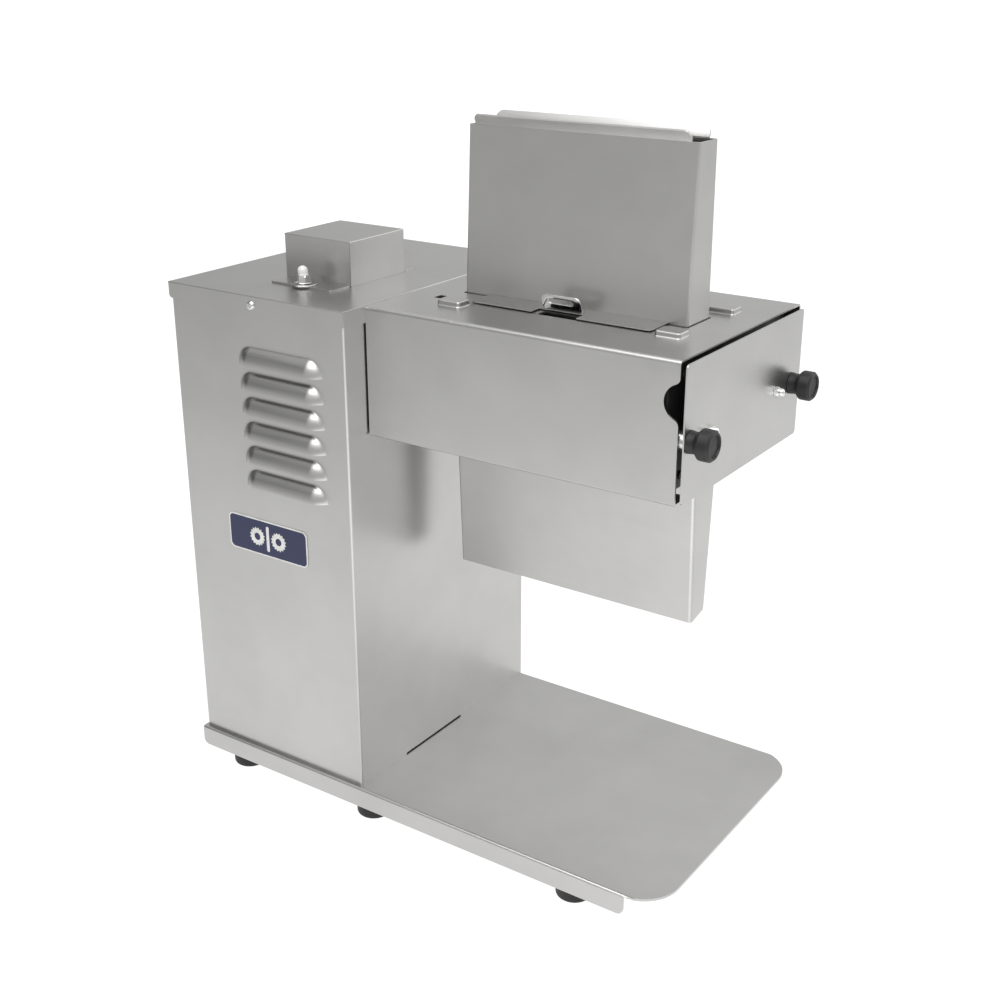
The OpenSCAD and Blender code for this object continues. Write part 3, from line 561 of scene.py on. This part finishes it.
def pan(low, high, r, corner=3, slit=0.3):
    """A sheet pan, open below: its sides are folded down, with a slit at each corner."""
    corners = [(low[0], low[1]), (high[0], low[1]), (high[0], high[1]), (low[0], high[1])]
    steps = 4
    angles = [math.pi / 2 * i / steps for i in range(steps + 1)]
    bend = [(r * math.sin(a) - r, high[2] - r + r * math.cos(a)) for a in angles]
    insets = [corner * (1 - math.cos(a)) for a in angles]
    lifts = [corner * (1 - math.sin(a)) for a in angles]
    parts = []
    for k in range(4):
        a, b = Vector(corners[k]), Vector(corners[(k + 1) % 4])
        along = (b - a).normalized()
        out = Vector((along.y, -along.x))
        rows = []
        for offset, z in bend + [(0, None)]:
            row = []
            for end, side in ((a, 1), (b, -1)):
                marks = list(zip(insets, lifts))
                for inset, lift in (marks if side > 0 else reversed(marks)):
                    gap = slit if z is None else 0
                    p = end + along * side * (inset + gap - offset) + out * offset
                    row.append((p.x, p.y, low[2] + lift if z is None else z))
            rows.append(row)
        slit_row = [(end + along * side * (inset + slit)) for end, side in ((a, 1), (b, -1))
                    for inset in (insets if side > 0 else reversed(insets))]
        rows.insert(-1, [(p.x, p.y, high[2] - r - 0.5) for p in slit_row])
        parts.append(strip(rows))
    top = [(low[0] + r, low[1] + r, high[2]), (high[0] - r, low[1] + r, high[2]),
           (high[0] - r, high[1] - r, high[2]), (low[0] + r, high[1] - r, high[2])]
    ring = []
    for k in range(4):
        a, b = Vector(top[k]), Vector(top[(k + 1) % 4])
        along = (b - a).normalized()
        ring += [tuple(a + along * i) for i in insets]
        ring += [tuple(b - along * i) for i in reversed(insets[1:])]
    parts.append((ring, [tuple(range(len(ring)))]))
    return join(*parts)


def lid():
    """The column's lid, a shallow pan."""
    low, high = span("column_lid")
    middle = [(a + b) / 2 for a, b in zip(low, high)]
    piece("lid", pan(low, high, 0.7, slit=0.5), "chassis", "sheet_steel", ["column_lid"], thick=1.2,
          edge=0.5, inside=(middle[0], middle[1], low[2]), smooth=40)


def top_box():
    """The box on the lid, with its foot plate."""
    low, high = span("top_box")
    relay_low, relay_high = span("safety_relay")
    margin_x, margin_y = 10, 7
    x0, x1 = relay_low[0] - margin_x, relay_high[0] + margin_x
    y0, y1 = relay_low[1] - margin_y, relay_high[1] + margin_y
    shell = pan((x0, y0, low[2] + 0.05), (x1, y1, high[2]), 0.7, corner=0.4, slit=0.45)
    piece("switch_box", shell, "chassis", "sheet_steel", ["top_box"], thick=1,
          inside=((x0 + x1) / 2, (y0 + y1) / 2, low[2]), smooth=40)
    foot = (rounded_rectangle((x0 + 3.5, low[1]), (x1 - 0.6, y0 + 1), 2.5),
            rounded_rectangle((x0 + 3.5, y1 - 1), (x1 - 0.6, high[1]), 2.5))
    hole = arc((SWITCH_X, SWITCH_Y), 3.4, 0, 360, 24)[:-1]
    for name, outline, holes in (("box_foot_front", foot[0], [hole]), ("box_foot_rear", foot[1], [])):
        flat = flat_pattern([outline] + holes, lambda x, y: (x, y, low[2] + SHEET))
        piece(name, flat, "chassis", "sheet_steel", thick=SHEET, edge=0.25,
              inside=((x0 + x1) / 2, y0, low[2] - 5))


# ------------------------------------------------------------------ base

TRAY_R = 32
SKIRT_H = 17.5
SKIRT_END = 5
SKIRT_PAST = 3              # how far the skirt runs on past the start of the tray's corner
CORNER_SAVING = 2 - math.pi / 2     # path saved by rounding a right angle, for a radius of 1


def base():
    """The base plate: a tray with round corners at its free end, folded down at front and rear."""
    (x0, y0, _), (x1, y1, _) = span("base_plate")
    r = 2.4
    corners = [(y0, -SKIRT_H), (y0, 0), (y1, 0), (y1, -SKIRT_H)]
    path = rounded_path(corners, [r, r])
    marks = lengths_along(path)
    total = marks[-1]
    lost = CORNER_SAVING * r
    fold = SKIRT_H - lost
    skirt_x1 = x1 - TRAY_R + SKIRT_PAST
    arc_x = x1 - TRAY_R

    def end(s, way):
        """The skirt's right end, and the tray's round corner above it."""
        top = s + way * (fold + 0.2)
        middle = s + way * (SKIRT_H - lost + TRAY_R)
        start = math.degrees(math.acos((skirt_x1 - arc_x) / TRAY_R))
        low_corner = arc((skirt_x1 - SKIRT_END, s + way * SKIRT_END), SKIRT_END, -90 * way, 0, 5)
        tray = arc((arc_x, middle), TRAY_R, -start * way, 0, 14)
        return low_corner + [(skirt_x1, top)] + [p for p in tray if p[0] > skirt_x1 - 0.01]

    outline = end(0, 1) + list(reversed(end(total, -1)))
    outline += [(x0 + SKIRT_END, total)] + arc((x0 + SKIRT_END, total - SKIRT_END), SKIRT_END, 90, 180, 5)[1:]
    outline += arc((x0 + SKIRT_END, SKIRT_END), SKIRT_END, 180, 270, 5)
    shape = folded([outline], path, lambda x, p: (x, p[0], p[1]))
    piece("base", shape, "chassis", "sheet_steel", ["base_plate"], thick=2, edge=0.35,
          inside=((x0 + x1) / 2, (y0 + y1) / 2, -200))
    left = flat_pattern([rounded_rectangle((y0 + 3, -SKIRT_H + 5.5), (y1 - 3, -1.9), 2)],
                        lambda y, z: (x0 + 0.05, y, z))
    piece("base_left_edge", left, "chassis", "sheet_steel", thick=1.9, edge=0.25,
          inside=(x0 + 50, y1 / 2, -8))


def feet():
    """Turned rubber feet, one for each foot of the CAD."""
    for name in [n for n in frame["nodes"] if n.startswith("foot_") and n != "foot_studs"]:
        low, high = span(name)
        r = (high[0] - low[0]) / 2
        h = high[2] - low[2]
        corners = [(0, 0.6), (r * 0.35, 0.6), (r * 0.4, 0), (r, 0), (r, 0.62 * h), (r - 1.5, 0.66 * h),
                   (r - 1.5, h), (0, h)]
        profile = rounded_path(corners, [0.3, 0.3, 3.2, 1.2, 0.8, 0.6])
        centre = ((low[0] + high[0]) / 2, (low[1] + high[1]) / 2, low[2])
        piece(name.replace("foot", "rubber_foot"), lathe(profile, centre, "z"), "chassis",
              "black_rubber", [name])


# ------------------------------------------------------------------ badge, switch and screws

SWITCH_LOW, SWITCH_HIGH = span("switch_ring")
SWITCH_X = (SWITCH_LOW[0] + SWITCH_HIGH[0]) / 2
SWITCH_Y = (SWITCH_LOW[1] + SWITCH_HIGH[1]) / 2


def badge():
    """A dark plate with a pale border and a sign of two rollers and a slice."""
    low, high = span("badge")
    rim = 1.15
    r = 5

    def on_front(depth):
        return lambda x, z: (x, depth, z)

    outer = rounded_rectangle((low[0], low[2]), (high[0], high[2]), r)
    inner = rounded_rectangle((low[0] + rim, low[2] + rim), (high[0] - rim, high[2] - rim), r - rim)
    behind = ((low[0] + high[0]) / 2, 50, (low[2] + high[2]) / 2)
    border = flat_pattern([outer, inner], on_front(low[1]))
    piece("badge_border", border, "chassis", "capacitor_white", ["badge"], thick=0.75, edge=0.12,
          inside=behind)
    field = flat_pattern([inner], on_front(low[1] + 0.15))
    piece("badge_field", field, "chassis", "badge_blue", thick=0.6, inside=behind)
    marks = []
    for side in (-1, 1):
        centre = (behind[0] + side * 11.5, behind[2])
        teeth = 16
        toothed = []
        for i in range(2 * teeth):
            a = math.pi * i / teeth
            radius = 8.2 if i % 2 else 6.8
            toothed.append((centre[0] + radius * math.cos(a), centre[1] + radius * math.sin(a)))
        hub = arc(centre, 3.2, 0, 360, 24)[:-1]
        marks.append(flat_pattern([toothed, hub], on_front(low[1] + 0.06)))
    slice_mark = rounded_rectangle((behind[0] - 1.5, low[2] + 4.5), (behind[0] + 1.5, high[2] - 4.5), 1.4)
    marks.append(flat_pattern([slice_mark], on_front(low[1] + 0.06)))
    piece("badge_sign", join(*marks), "chassis", "capacitor_white", thick=0.1, inside=behind)


def hex_nut(centre, axis, across_flats, height, turn=0):
    """A hexagon nut, its top chamfered to a circle."""
    sides = 48
    flat_r = across_flats / 2
    rows = []
    for level, share in ((0, 0.0), (0.35, 1.0), (height - 0.9, 1.0), (height, 0.0)):
        ring = []
        for i in range(sides):
            a = 2 * math.pi * i / sides
            to_flat = (a - turn) % (math.pi / 3) - math.pi / 6
            r = flat_r / math.cos(to_flat)
            round_r = flat_r * 0.985
            r = r * share + min(r, round_r) * (1 - share)
            c, s = r * math.cos(a), r * math.sin(a)
            offset = {"x": (level, c, s), "z": (c, s, level)}[axis]
            ring.append(tuple(centre[k] + offset[k] for k in range(3)))
        rows.append(ring)
    points, faces = strip(rows, closed=True)
    faces += [tuple(range(sides)), tuple(range(len(points) - sides, len(points)))]
    return points, faces


def switch():
    """Washer, nut and the soft boot over the lever."""
    z = SWITCH_LOW[2]
    r = SWITCH_HIGH[0] - SWITCH_X
    at = (SWITCH_X, SWITCH_Y, z)
    washer = [(3.3, 0), (r, 0), (r, 1.2), (r - 2.2, 1.2), (r - 3.2, 0.75), (3.3, 0.75)]
    ring = rounded_path(washer, [0.25, 0.45, 0.5, 0.5])
    points, faces = lathe(ring + [ring[0]], at, "z")
    piece("switch_washer", (points, [f for f in faces if len(f) == 4]), "chassis", "bright_fasteners",
          ["switch_ring"])
    low, _ = span("switch_nut")
    nut_width, nut_height, nut_turn = 9.6, 6.5, 0.35
    nut = hex_nut((SWITCH_X, SWITCH_Y, low[2]), "z", nut_width, nut_height, nut_turn)
    piece("switch_hex_nut", nut, "chassis", "bright_fasteners", ["switch_nut"], smooth=25)
    _, lever_high = span("switch_lever")
    top = lever_high[2] - z
    boot = [(0, 6.2), (3.6, 6.2), (4.1, 7.6), (3.8, 8.6), (4, 9.6), (4, top), (0, top)]
    profile = rounded_path(boot, [0.2, 0.4, 0.4, 0.5, 3.9], 6)
    tilt = math.radians(-8)
    points, faces = lathe(profile, (0, 0, 0), "z", 48)
    pivot_z = 3
    turned = []
    for x, y, h in points:
        rise = h - pivot_z
        turned.append((SWITCH_X + x * math.cos(tilt) + rise * math.sin(tilt), SWITCH_Y + y,
                       z + pivot_z + rise * math.cos(tilt) - x * math.sin(tilt)))
    shift = max(p[2] for p in turned) - lever_high[2]
    turned = [(x, y, h - max(0, shift)) for x, y, h in turned]
    piece("switch_boot", (turned, faces), "switch_lever", "clear_silicone", ["switch_lever"], smooth=50)


HEAD_R = 3.6
HEAD_H = 2.3


def screw_head(x, y, z, way):
    """A pan head with a cross recess, standing out from y along way."""
    rings, sides = 14, 48
    rows = []
    for i in range(rings + 1):
        share = i / rings
        radius = HEAD_R * share
        dome = HEAD_H * (1 - 0.28 * share ** 2 - 0.72 * max(0, (share - 0.72) / 0.28) ** 2.2)
        row = []
        for k in range(sides):
            a = 2 * math.pi * k / sides + 0.4
            u, v = abs(radius * math.cos(a)), abs(radius * math.sin(a))
            arm = min(u, v) < 0.42 and max(u, v) < 1.9
            depth = 1.0 if arm else 0
            row.append((x + radius * math.cos(a + 0.3), y + way * max(0, dome - depth),
                        z + radius * math.sin(a + 0.3)))
        rows.append(row)
    rows.append([(px, y, pz) for px, _, pz in rows[-1]])
    points, faces = strip(rows, closed=True)
    faces.append(tuple(range(len(points) - sides, len(points))))
    return points, faces


def screws():
    """The lid's two screws and the rear panel's six."""
    low, high = span("lid_screws")
    x, z = (low[0] + high[0]) / 2, (low[2] + high[2]) / 2
    heads = [screw_head(x, low[1] + HEAD_H, z, -1), screw_head(x, high[1] - HEAD_H, z, 1)]
    piece("lid_screw_heads", join(*heads), "chassis", "bright_fasteners", ["lid_screws"], smooth=40)
    low, high = span("rear_panel_screws")
    xs, zs = (low[0] + HEAD_R, high[0] - HEAD_R), (low[2] + HEAD_R, 205, high[2] - HEAD_R)
    heads = [screw_head(x, high[1] - HEAD_H, z, 1) for x in xs for z in zs]
    piece("rear_screw_heads", join(*heads), "chassis", "bright_fasteners", ["rear_panel_screws"], smooth=40)


# ------------------------------------------------------------------ head cover and chutes

COVER_LOW, COVER_HIGH = span("head_cover")
COVER_REACH = 0.9           # how much further left than the CAD's cover it starts
BRIDGES = ((219, 58), (219, 164.7), (394, 70.5), (394, 152.2))
BRIDGE_LEN, BRIDGE_W = 20, 15
BRIDGE_H = 4
BRIDGE_R = 2.2
COVER_TOP = COVER_HIGH[2] - BRIDGE_H
COVER_BEND = 3
FOOT_BEND = 1.5
COVER_LIP = 20              # width of the edges folded in at the cover's foot
COVER_CLIP = 4              # its clipped corners at the column
TAB_SLOT_X = (296, 331)
TAB_SLOT_Y = (75.5, 87)
SMALL_SLOT_X = (203.5, 209.5)
SMALL_SLOT_Y = (75, 84)
NOTCH_R = 13
NOTCH_FILLET = 5
NOTCH_OUT = 1.6             # from the cover's edge out to the middle of the notch
NOTCH_Z = 371.2
CHUTE_LOW, CHUTE_HIGH = span("feed_chute")
LIP_ROOM = 8                # height above the walls for the lips and the thickness of their sheet
LIP_H = 7.15
CHUTE_WALL_TOP = CHUTE_HIGH[2] - LIP_ROOM
LIP_X = (219.7, 397)
LIP_OUT = 4.3

# Y of the chutes' front and rear walls, at the bottom and at the top
CHUTE_FRONT = (102.1, 108.3)
CHUTE_REAR = (135.6, 134.3)
DISCHARGE_FRONT = (105.9, 99.7)
DISCHARGE_REAR = (128.1, 135.9)
DISCHARGE_X = (204.4, 416.2)


def notch(edge, s):
    """A finger notch with soft shoulders in the edge at x = edge, at s along the pattern."""
    centre = edge + NOTCH_OUT
    near = centre - edge + NOTCH_FILLET
    rise = math.sqrt((NOTCH_R + NOTCH_FILLET) ** 2 - near ** 2)
    turn = math.degrees(math.atan2(rise, near))
    shoulder = arc((edge - NOTCH_FILLET, s - rise), NOTCH_FILLET, 0, turn, 6)
    bite = arc((centre, s), NOTCH_R, 180 + turn, 180 - turn, 16)
    other = arc((edge - NOTCH_FILLET, s + rise), NOTCH_FILLET, -turn, 0, 6)
    return shoulder + bite[1:-1] + other


def head_cover():
    """The cover: one sheet folded over the head and in at its foot, with two finger notches,
    the chute's opening, the slot in front of its tab and a small slot on the left."""
    x0, x1 = COVER_LOW[0] - COVER_REACH, COVER_HIGH[0]
    y0, y1, z0, z1 = COVER_LOW[1], COVER_HIGH[1], COVER_LOW[2], COVER_TOP
    corners = [(y0 + COVER_LIP, z0), (y0, z0), (y0, z1), (y1, z1), (y1, z0), (y1 - COVER_LIP, z0)]
    path = rounded_path(corners, [FOOT_BEND, COVER_BEND, COVER_BEND, FOOT_BEND])
    total = lengths_along(path)[-1]
    wall = COVER_LIP - CORNER_SAVING * FOOT_BEND / 2
    notch_s = wall + NOTCH_Z - z0 - CORNER_SAVING * FOOT_BEND / 2
    outline = [(x0 + COVER_CLIP, 0), (x1, 0)] + notch(x1, notch_s) + notch(x1, total - notch_s)
    outline += [(x1, total), (x0 + COVER_CLIP, total)]
    outline += [(x0, total - wall - COVER_CLIP), (x0, wall + COVER_CLIP)]
    top_s = wall + (z1 - z0) - CORNER_SAVING * FOOT_BEND / 2 - CORNER_SAVING * COVER_BEND - y0

    def opening(xa, xb, ya, yb, r):
        return rounded_rectangle((xa, top_s + ya), (xb, top_s + yb), r, 3)

    holes = [opening(CHUTE_LOW[0] - 1, CHUTE_HIGH[0] + 1, CHUTE_FRONT[0] - 1.9, CHUTE_REAR[0] + 1.8, 1),
             opening(*TAB_SLOT_X, *TAB_SLOT_Y, 0.8), opening(*SMALL_SLOT_X, *SMALL_SLOT_Y, 0.6)]
    shape = folded([outline] + holes, path, lambda x, p: (x, p[0], p[1]))
    piece("cover_shell", shape, "head_cover", "sheet_steel", ["head_cover"], thick=SHEET, edge=0.3,
          inside=((x0 + x1) / 2, (y0 + y1) / 2, (z0 + z1) / 2))


def bridges():
    """Four pressed straps on the cover that hold the chute's foot plate down."""
    steps = ((0.9, 0), (0.35, 0.25), (0.08, 0.8), (0, 1.5), (0, BRIDGE_H - 1.2), (-0.18, BRIDGE_H - 0.55),
             (-0.6, BRIDGE_H - 0.15), (-1.2, BRIDGE_H))
    parts = []
    for x, y in BRIDGES:
        rows = []
        for grow, z in steps:
            outline = rounded_rectangle((x - grow, y - grow), (x + BRIDGE_LEN + grow, y + BRIDGE_W + grow),
                                        BRIDGE_R + grow, 4)
            rows.append([(px, py, COVER_TOP - 0.05 + z * 0.99) for px, py in outline])
        points, faces = strip(rows, closed=True)
        faces.append(tuple(range(len(points) - len(rows[0]), len(points))))
        faces.append(tuple(range(len(rows[0]))))
        parts.append((points, faces))
    piece("cover_bridges", join(*parts), "head_cover", "sheet_steel", smooth=50)


def tube(x, front, rear, z, radius, bottom=None, levels=2):
    """Four folded walls; front and rear give each wall's y at the bottom and at the top."""
    rows = []
    for i in range(levels):
        t = i / (levels - 1)
        yf = front[0] + (front[1] - front[0]) * t
        yr = rear[0] + (rear[1] - rear[0]) * t
        level = z[0] + (z[1] - z[0]) * t
        ring = rounded_rectangle((x[0], yf), (x[1], yr), radius, 4)
        rows.append([(px, py, bottom(py) if bottom and i == 0 else level) for px, py in ring])
    return strip(rows, closed=True)


def lip(x, y, z, out, corner):
    """A flared lip with round upper corners, along the top edge at y."""
    lengths = [1.2, 3, 4.6, 6, LIP_H]
    marks = []
    for k in range(7):
        a = math.pi / 2 * k / 6
        marks.append((corner * (1 - math.cos(a)), corner * (1 - math.sin(a))))
    columns = ([(x[0] + inset, drop) for inset, drop in marks]
               + [(x[1] - inset, drop) for inset, drop in reversed(marks)])
    rows = []
    for reach in [0] + lengths:
        row = []
        for px, drop in columns:
            level = min(reach, max(0, LIP_H - drop) * reach / LIP_H)
            lean = out * (level / LIP_H) ** 1.25
            row.append((px, y + lean, z + level))
        rows.append(row)
    return strip(rows)


def feed_chute():
    """The chute's four walls, with a flared lip along the front and the rear edge."""
    x = (CHUTE_LOW[0], CHUTE_HIGH[0])
    middle = (sum(x) / 2, 120, 450)
    walls = tube(x, CHUTE_FRONT, CHUTE_REAR, (CHUTE_LOW[2], CHUTE_WALL_TOP), 1.8)
    piece("chute_walls", walls, "feed_chute", "sheet_steel", ["feed_chute"], thick=SHEET, edge=0.3,
          inside=middle)
    front = lip(LIP_X, CHUTE_FRONT[1], CHUTE_WALL_TOP - 0.05, -LIP_OUT, 4.5)
    piece("chute_lip_front", front, "feed_chute", "sheet_steel", thick=SHEET, edge=0.25,
          inside=(middle[0], 300, 528))
    rear = lip(LIP_X, CHUTE_REAR[1], CHUTE_WALL_TOP - 0.05, LIP_OUT, 5)
    piece("chute_lip_rear", rear, "feed_chute", "sheet_steel", thick=SHEET, edge=0.25,
          inside=(middle[0], -60, 528))


def chute_foot():
    """The chute's foot plate with its spring tab."""
    low, high = span("chute_base")
    top = low[2] + SHEET
    tab_x = (293, 326.5)
    front_y = 76
    root = 87
    lean = math.radians(18)
    gap = 2
    corner = 3
    left, right = low[0] + corner, high[0] - corner
    front = (arc((left, front_y + corner), corner, 180, 270, 4)
             + [(tab_x[0] - gap, front_y), (tab_x[0] - gap, root)]
             + [(tab_x[1] + gap, root), (tab_x[1] + gap, front_y)]
             + arc((right, front_y + corner), corner, 270, 360, 4)
             + [(high[0], CHUTE_FRONT[0]), (low[0], CHUTE_FRONT[0])])
    rear = ([(low[0], CHUTE_REAR[0] + 0.1), (high[0], CHUTE_REAR[0] + 0.1)]
            + arc((right, high[1] - corner), corner, 0, 90, 4)
            + arc((left, high[1] - corner), corner, 90, 180, 4))
    plates = join(*(flat_pattern([outline], lambda x, y: (x, y, top)) for outline in (front, rear)))
    piece("chute_foot_plate", plates, "feed_chute", "sheet_steel", ["chute_base"], thick=0.8, edge=0.2,
          inside=(low[0], 110, top - 60))
    height = (high[2] - low[2]) / math.cos(lean) - 0.5
    c = 4.5
    outline = [(tab_x[0], -4), (tab_x[1], -4), (tab_x[1], 0)] + arc((tab_x[1] - c, height - c), c, 0, 90, 5)
    outline += arc((tab_x[0] + c, height - c), c, 90, 180, 5) + [(tab_x[0], 0)]
    middle = sum(tab_x) / 2
    slot_z, slot_r, slot_half = height - 5, 2.1, 8.5
    slot = (arc((middle + slot_half, slot_z), slot_r, -90, 90, 8)
            + arc((middle - slot_half, slot_z), slot_r, 90, 270, 8))
    r = 1.6

    def bent(x, t):
        """Flat behind the root, then up, leaning towards the front."""
        full = math.pi / 2 + lean
        a = min(max(t / r, 0), full)
        rest = max(t - r * full, 0)
        y = root + 1.5 - min(t, 0) - r * math.sin(a) + rest * math.cos(full)
        return (x, y, top + r * (1 - math.cos(a)) + rest * math.sin(full))

    cuts = [r * (math.pi / 2 + lean) * i / 6 for i in range(7)]
    piece("chute_tab", flat_pattern([outline, slot], bent, cuts), "feed_chute", "bright_fasteners", thick=1.2,
          edge=0.3, inside=(middle, 200, 440))


def discharge_chute():
    """The chute under the head: four tapering walls, lower edge rising to the rear, two flanges."""
    low, high = span("discharge_chute")
    front, rear = DISCHARGE_FRONT, DISCHARGE_REAR
    clip_y, clip_run, clip_rise = rear[0] - 7, 11, 9
    middle = (sum(DISCHARGE_X) / 2, 117, 240)

    def rim(y):
        return low[2] + max(0, (y - clip_y) * clip_rise / clip_run)

    walls = tube(DISCHARGE_X, front, rear, (low[2], high[2] - SHEET), 2.6, rim, 3)
    piece("discharge_walls", walls, "chassis", "sheet_steel", ["discharge_chute"], thick=SHEET, edge=0.3,
          inside=middle)
    flanges = []
    for y in ((low[1], front[1] + 1), (rear[1] - 1, high[1])):
        flanges.append(flat_pattern([rounded_rectangle((low[0], y[0]), (high[0], y[1]), 1, 2)],
                                    lambda px, py: (px, py, high[2])))
    piece("discharge_flanges", join(*flanges), "chassis", "sheet_steel", thick=SHEET, edge=0.25,
          inside=middle)


# ------------------------------------------------------------------ end plate, knobs and rollers

def block_screws():
    """Black screw heads with a socket on the bearing block, two above two."""
    low, high = span("block_screws")
    r = 3.2
    height = high[0] - low[0]
    corners = [(0, 0), (r, 0), (r, height), (r * 0.5, height), (r * 0.45, 0.3), (0, 0.3)]
    profile = rounded_path(corners, [0.1, 0.4, 0.15, 0.1], 3)
    parts = []
    for y in (low[1] + r, high[1] - r):
        for z in (low[2] + r, high[2] - r):
            parts.append(lathe(profile, (low[0], y, z), "x", 32))
    piece("block_screw_heads", join(*parts), "chassis", "black_nylon", ["block_screws"], smooth=30)


def end_plate():
    """The plate that closes the cover's right end, with a hole for each rod."""
    low, high = span("end_plate")
    outline = rounded_rectangle((low[1], low[2]), (high[1], high[2]), 3)
    holes = []
    for name in ("tie_rod_front", "tie_rod_rear"):
        rod_low, rod_high = span(name)
        centre = ((rod_low[1] + rod_high[1]) / 2, (rod_low[2] + rod_high[2]) / 2)
        holes.append(arc(centre, 4.6, 0, 360, 24)[:-1])
    shape = flat_pattern([outline] + holes, lambda y, z: (high[0], y, z))
    piece("end_sheet", shape, "end_plate", "sheet_steel", ["end_plate"], thick=high[0] - low[0], edge=0.4,
          inside=(0, 117, 350))


def knobs():
    """Turned clamping knobs: a waisted stem, a chamfered head and a shallow dished end."""
    for name in ("knob_front", "knob_rear"):
        low, high = span(name)
        r = (high[2] - low[2]) / 2
        length = high[0] - low[0]
        stem = 0.74 * r
        corners = [(0, 0), (stem, 0), (stem - 0.5, 3.2), (stem - 0.5, 5.8), (r - 0.3, 8.8), (r, 9.7),
                   (r, length - 1.9), (r - 1.7, length), (r - 3, length),
                   (r - 3.4, length - 1.2), (0, length - 1.2)]
        radii = [0.3, 3, 1.2, 0.5, 0.4, 0.5, 0.35, 0.2, 0.3]
        profile = rounded_path(corners, radii, 3)
        centre = (low[0], (low[1] + high[1]) / 2, (low[2] + high[2]) / 2)
        piece(name + "_turned", lathe(profile, centre, "x", 72), name, "black_plastic", [name], smooth=30)


def cap_nuts():
    """Two domed nuts on the end plate."""
    low, high = span("acorn_nuts")
    z = (low[2] + high[2]) / 2
    length = high[0] - low[0]
    half_width = 4.04
    parts = []
    for y in (low[1] + half_width, high[1] - half_width):
        parts.append(hex_nut((low[0], y, z), "x", 7, 3.4, math.pi / 6))
        dome = rounded_path([(0, 3.3), (3.1, 3.3), (3.1, length), (0, length)], [0.1, 3.0], 6)
        parts.append(lathe(dome, (low[0], y, z), "x", 40))
    piece("cap_nuts", join(*parts), "end_plate", "bright_fasteners", ["acorn_nuts"], smooth=30)


DISCS = 34
DISC_PITCH = 6
DISC_THICK = 1.2
TEETH = 32
TOOTH_TIP = 0.2
TOOTH_ROOT = 3.6


def toothed_rollers():
    """Two rollers of thin discs with pointed teeth on a shaft with spacers; the rear roller's
    discs stand between those of the front one."""
    for name, first in (("front_roller", 208.5), ("rear_roller", 211.5)):
        low, high = span(name)
        y, z = (low[1] + high[1]) / 2, (low[2] + high[2]) / 2
        r = (high[2] - low[2]) / 2
        root, tip = r - TOOTH_ROOT, r - TOOTH_TIP
        outline = []
        for i in range(TEETH):
            for share, radius in ((0, root), (0.38, tip), (0.5, tip), (0.88, root)):
                a = 2 * math.pi * (i + share) / TEETH
                outline.append((y + radius * math.cos(a), z + radius * math.sin(a)))
        n = len(outline)
        parts = []
        for k in range(DISCS):
            x = first + DISC_PITCH * k
            points = [(x, *p) for p in outline] + [(x + DISC_THICK, *p) for p in outline]
            faces = [tuple(range(n)), tuple(range(n, 2 * n))]
            faces += [(i, (i + 1) % n, n + (i + 1) % n, n + i) for i in range(n)]
            parts.append((points, faces))
        length = high[0] - low[0]
        shaft_r, drum_r, drum = 10, 15, (20, 225)
        shaft = rounded_path([(0, 0), (shaft_r, 0), (shaft_r, drum[0]), (drum_r, drum[0]),
                              (drum_r, drum[1]), (shaft_r, drum[1]), (shaft_r, length), (0, length)],
                             [0.8, 0.4, 0.5, 0.5, 0.4, 0.8], 3)
        parts.append(lathe(shaft, (low[0], y, z), "x", 48))
        piece(name + "_toothed", join(*parts), name, "blade_steel", [name], smooth=25)


column()
lid()
top_box()
base()
feet()
badge()
switch()
screws()
head_cover()
bridges()
feed_chute()
chute_foot()
discharge_chute()
block_screws()
end_plate()
knobs()
cap_nuts()
toothed_rollers()


# ------------------------------------------------------------------ CAD nodes that stay

def soften(node, width=0.0003):
    """Joins a CAD node's split edges and breaks its sharp edges with a small bevel."""
    weld = node.modifiers.new("weld", "WELD")
    weld.merge_threshold = 0.00001
    bevel = node.modifiers.new("edge", "BEVEL")
    bevel.width = width
    bevel.segments = 2
    bevel.limit_method = "ANGLE"
    bevel.angle_limit = math.radians(40)
    bevel.harden_normals = True


for name, node in frame["nodes"].items():
    node.data.materials.clear()
    node.data.materials.append(LOOKS[SLOT_OF[name]])
    if not node.hide_render:
        soften(node)
